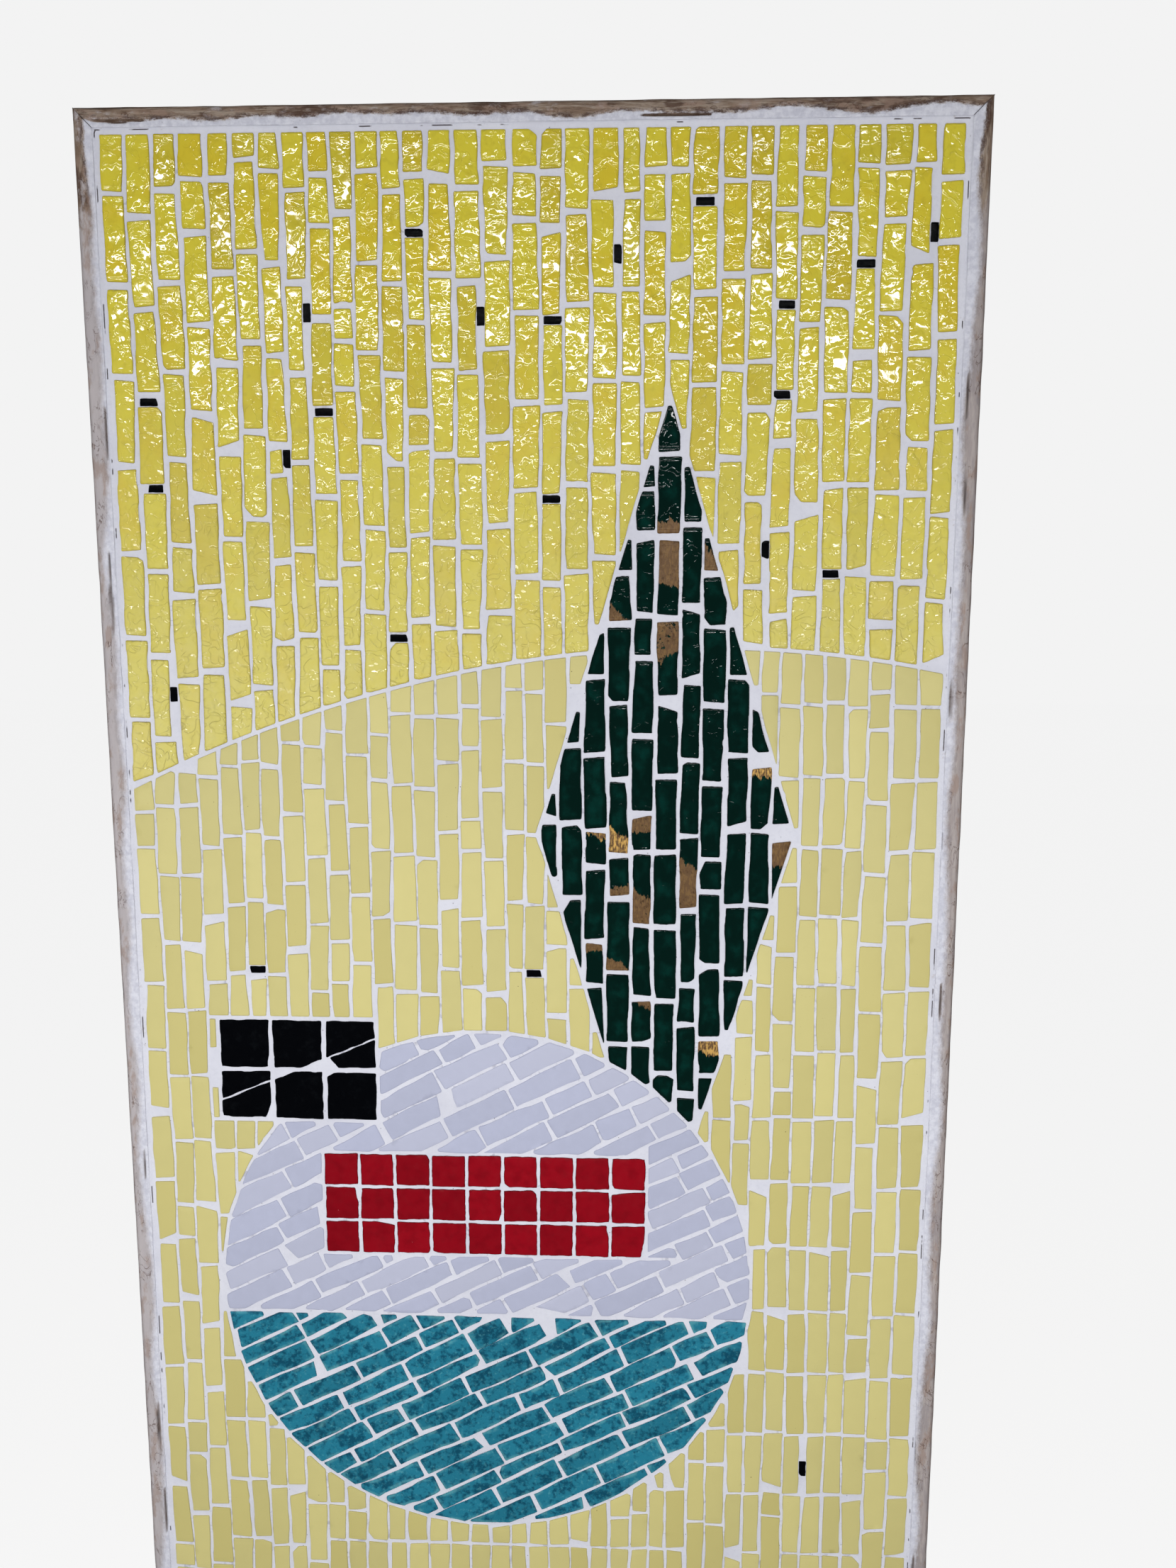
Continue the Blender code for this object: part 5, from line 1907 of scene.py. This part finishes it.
def make_floor(settings):
    """A pale floor that shades a little under the panel and isn't mirrored in the glaze."""
    made = Finish("floor", roughness=0.95, specular=0.0)
    shade = made.mix(*FLOOR_SHADES, made.cloud(made.place, FLOOR_PATCH_MM, 2.0))
    made.shader.inputs["Emission Color"].default_value = (1.0, 1.0, 1.0, 1.0)
    made.shader.inputs["Emission Strength"].default_value = settings.floor_glow
    mesh = bpy.data.meshes.new("floor")
    corners = rectangle(0, 0, 2 * FLOOR_HALF_SIZE, 2 * FLOOR_HALF_SIZE)
    mesh.from_pydata([(x, y, -settings.drop) for x, y in corners], [], [(0, 1, 2, 3)])
    mesh.materials.append(made.finish(Base_Color=shade))
    floor = add_object("floor", mesh)
    floor.visible_glossy = False
    floor.visible_diffuse = False


def make_camera(settings):
    camera = bpy.data.cameras.new("camera")
    camera.lens = settings.lens
    camera.sensor_width = SENSOR_WIDTH_MM
    camera.clip_start = NEAREST_SEEN
    made = add_object("camera", camera)
    made.location = CAMERA_PLACE
    made.rotation_euler = [math.radians(turn) for turn in CAMERA_TURNS]
    bpy.context.scene.camera = made


# Operators


class MOSAIC_OT_yellow_tiles(bpy.types.Operator):
    """Cuts and sets the bright and the pale yellow strips of the ground"""

    bl_idname = "mosaic.yellow_tiles"
    bl_label = "Yellow tiles"

    def execute(self, context):
        glazes = context.scene.mosaic_glazes
        tile_piece("tiles_bright_yellow", "bright", bright_glaze(glazes), "bright_yellow", "bright_ground")
        tile_piece("tiles_pale_yellow", "pale", pale_glaze(glazes), "pale_yellow", "pale_ground")
        return {"FINISHED"}


class MOSAIC_OT_green_tiles(bpy.types.Operator):
    """Cuts and sets the dark green strips, some with bronze leaf"""

    bl_idname = "mosaic.green_tiles"
    bl_label = "Green tiles"

    def execute(self, context):
        finish = green_glaze(context.scene.mosaic_glazes)
        tile_piece("tiles_dark_green", "green", finish, "dark_green", "green_lozenge")
        return {"FINISHED"}


class MOSAIC_OT_disc_tiles(bpy.types.Operator):
    """Cuts and sets the slanting strips of the disc's two halves"""

    bl_idname = "mosaic.disc_tiles"
    bl_label = "Disc tiles"

    def execute(self, context):
        glazes = context.scene.mosaic_glazes
        tile_piece("tiles_lilac_white", "white", lilac_glaze(glazes), "lilac_white", "white_half_disc")
        tile_piece("tiles_teal", "teal", teal_glaze(glazes), "teal", "teal_half_disc")
        return {"FINISHED"}


class MOSAIC_OT_square_tiles(bpy.types.Operator):
    """Cuts and sets the red and the black squares, and the small black slips"""

    bl_idname = "mosaic.square_tiles"
    bl_label = "Squares and slips"

    def execute(self, context):
        glazes = context.scene.mosaic_glazes
        black = black_glaze(glazes)
        tile_piece("tiles_deep_red", "red", red_glaze(glazes), "deep_red", "red_bar")
        tile_piece("tiles_black", "black", black, "black", "black_block")
        tile_piece("black_slips", "slip", black, "black")
        return {"FINISHED"}


class MOSAIC_OT_grout(bpy.types.Operator):
    """Fills the joints"""

    bl_idname = "mosaic.grout"
    bl_label = "Grout"

    def execute(self, context):
        settings = context.scene.mosaic_grout
        grout_piece(settings, grout_finish(settings))
        return {"FINISHED"}


class MOSAIC_OT_rails(bpy.types.Operator):
    """Makes the four weathered rails"""

    bl_idname = "mosaic.rails"
    bl_label = "Rails"

    def execute(self, context):
        settings = context.scene.mosaic_rails
        wood = wood_finish(settings, context.scene.mosaic_grout)
        for number, name in enumerate(RAILS):
            rail_piece(name, number, settings, wood)
        return {"FINISHED"}


class MOSAIC_OT_board(bpy.types.Operator):
    """Finishes the backing board"""

    bl_idname = "mosaic.board"
    bl_label = "Backing board"

    def execute(self, context):
        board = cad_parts["backing_board"]
        finish = board_finish()
        if not board.material_slots:
            board.data.materials.append(finish)
        for slot in board.material_slots:
            slot.material = finish
        return {"FINISHED"}


class MOSAIC_OT_stage(bpy.types.Operator):
    """Sets up the floor, the lamps, the room and the camera"""

    bl_idname = "mosaic.stage"
    bl_label = "Stage"

    def execute(self, context):
        settings = context.scene.mosaic_stage
        context.scene.view_settings.view_transform = "Standard"
        room_light(settings)
        make_floor(settings)
        high = (LONG_LAMP["x"], LONG_LAMP["y"], settings.lamp_height)
        lamp("long_lamp", high, LONG_LAMP["aim"], LONG_LAMP["size"], settings.lamp_power)
        low_lamp = lamp("low_lamp", **LOW_LAMP, power=settings.fill_power)
        low_lamp.visible_glossy = False
        back_lamp = lamp("back_lamp", **BACK_LAMP, power=settings.back_power)
        back_lamp.data.spread = math.radians(BACK_LAMP_SPREAD)
        make_camera(settings)
        return {"FINISHED"}


class MOSAIC_PT_panel(bpy.types.Panel):
    """Lists the settings and the pieces"""

    bl_label = "Mosaic panel"
    bl_idname = "MOSAIC_PT_panel"
    bl_space_type = "VIEW_3D"
    bl_region_type = "UI"
    bl_category = "Mosaic"

    def draw(self, context):
        for name in SETTINGS:
            box = self.layout.box()
            group = getattr(context.scene, name)
            for key in group.__annotations__:
                box.prop(group, key)
        for operator in OPERATORS:
            self.layout.operator(operator.bl_idname)


SETTINGS = {
    "mosaic_glazes": MosaicGlazes,
    "mosaic_tiles": MosaicTiles,
    "mosaic_grout": MosaicGrout,
    "mosaic_rails": MosaicRails,
    "mosaic_stage": MosaicStage,
}
OPERATORS = (
    MOSAIC_OT_yellow_tiles,
    MOSAIC_OT_green_tiles,
    MOSAIC_OT_disc_tiles,
    MOSAIC_OT_square_tiles,
    MOSAIC_OT_grout,
    MOSAIC_OT_rails,
    MOSAIC_OT_board,
    MOSAIC_OT_stage,
)


def register():
    for name, group in SETTINGS.items():
        bpy.utils.register_class(group)
        setattr(bpy.types.Scene, name, PointerProperty(type=group))
    for operator in OPERATORS:
        bpy.utils.register_class(operator)
    bpy.utils.register_class(MOSAIC_PT_panel)


def unregister():
    bpy.utils.unregister_class(MOSAIC_PT_panel)
    for operator in reversed(OPERATORS):
        bpy.utils.unregister_class(operator)
    for name, group in reversed(SETTINGS.items()):
        delattr(bpy.types.Scene, name)
        bpy.utils.unregister_class(group)


def main():
    register()
    bpy.ops.mosaic.yellow_tiles()
    bpy.ops.mosaic.green_tiles()
    bpy.ops.mosaic.disc_tiles()
    bpy.ops.mosaic.square_tiles()
    bpy.ops.mosaic.grout()
    bpy.ops.mosaic.rails()
    bpy.ops.mosaic.board()
    bpy.ops.mosaic.stage()


if __name__ == "__main__":
    main()
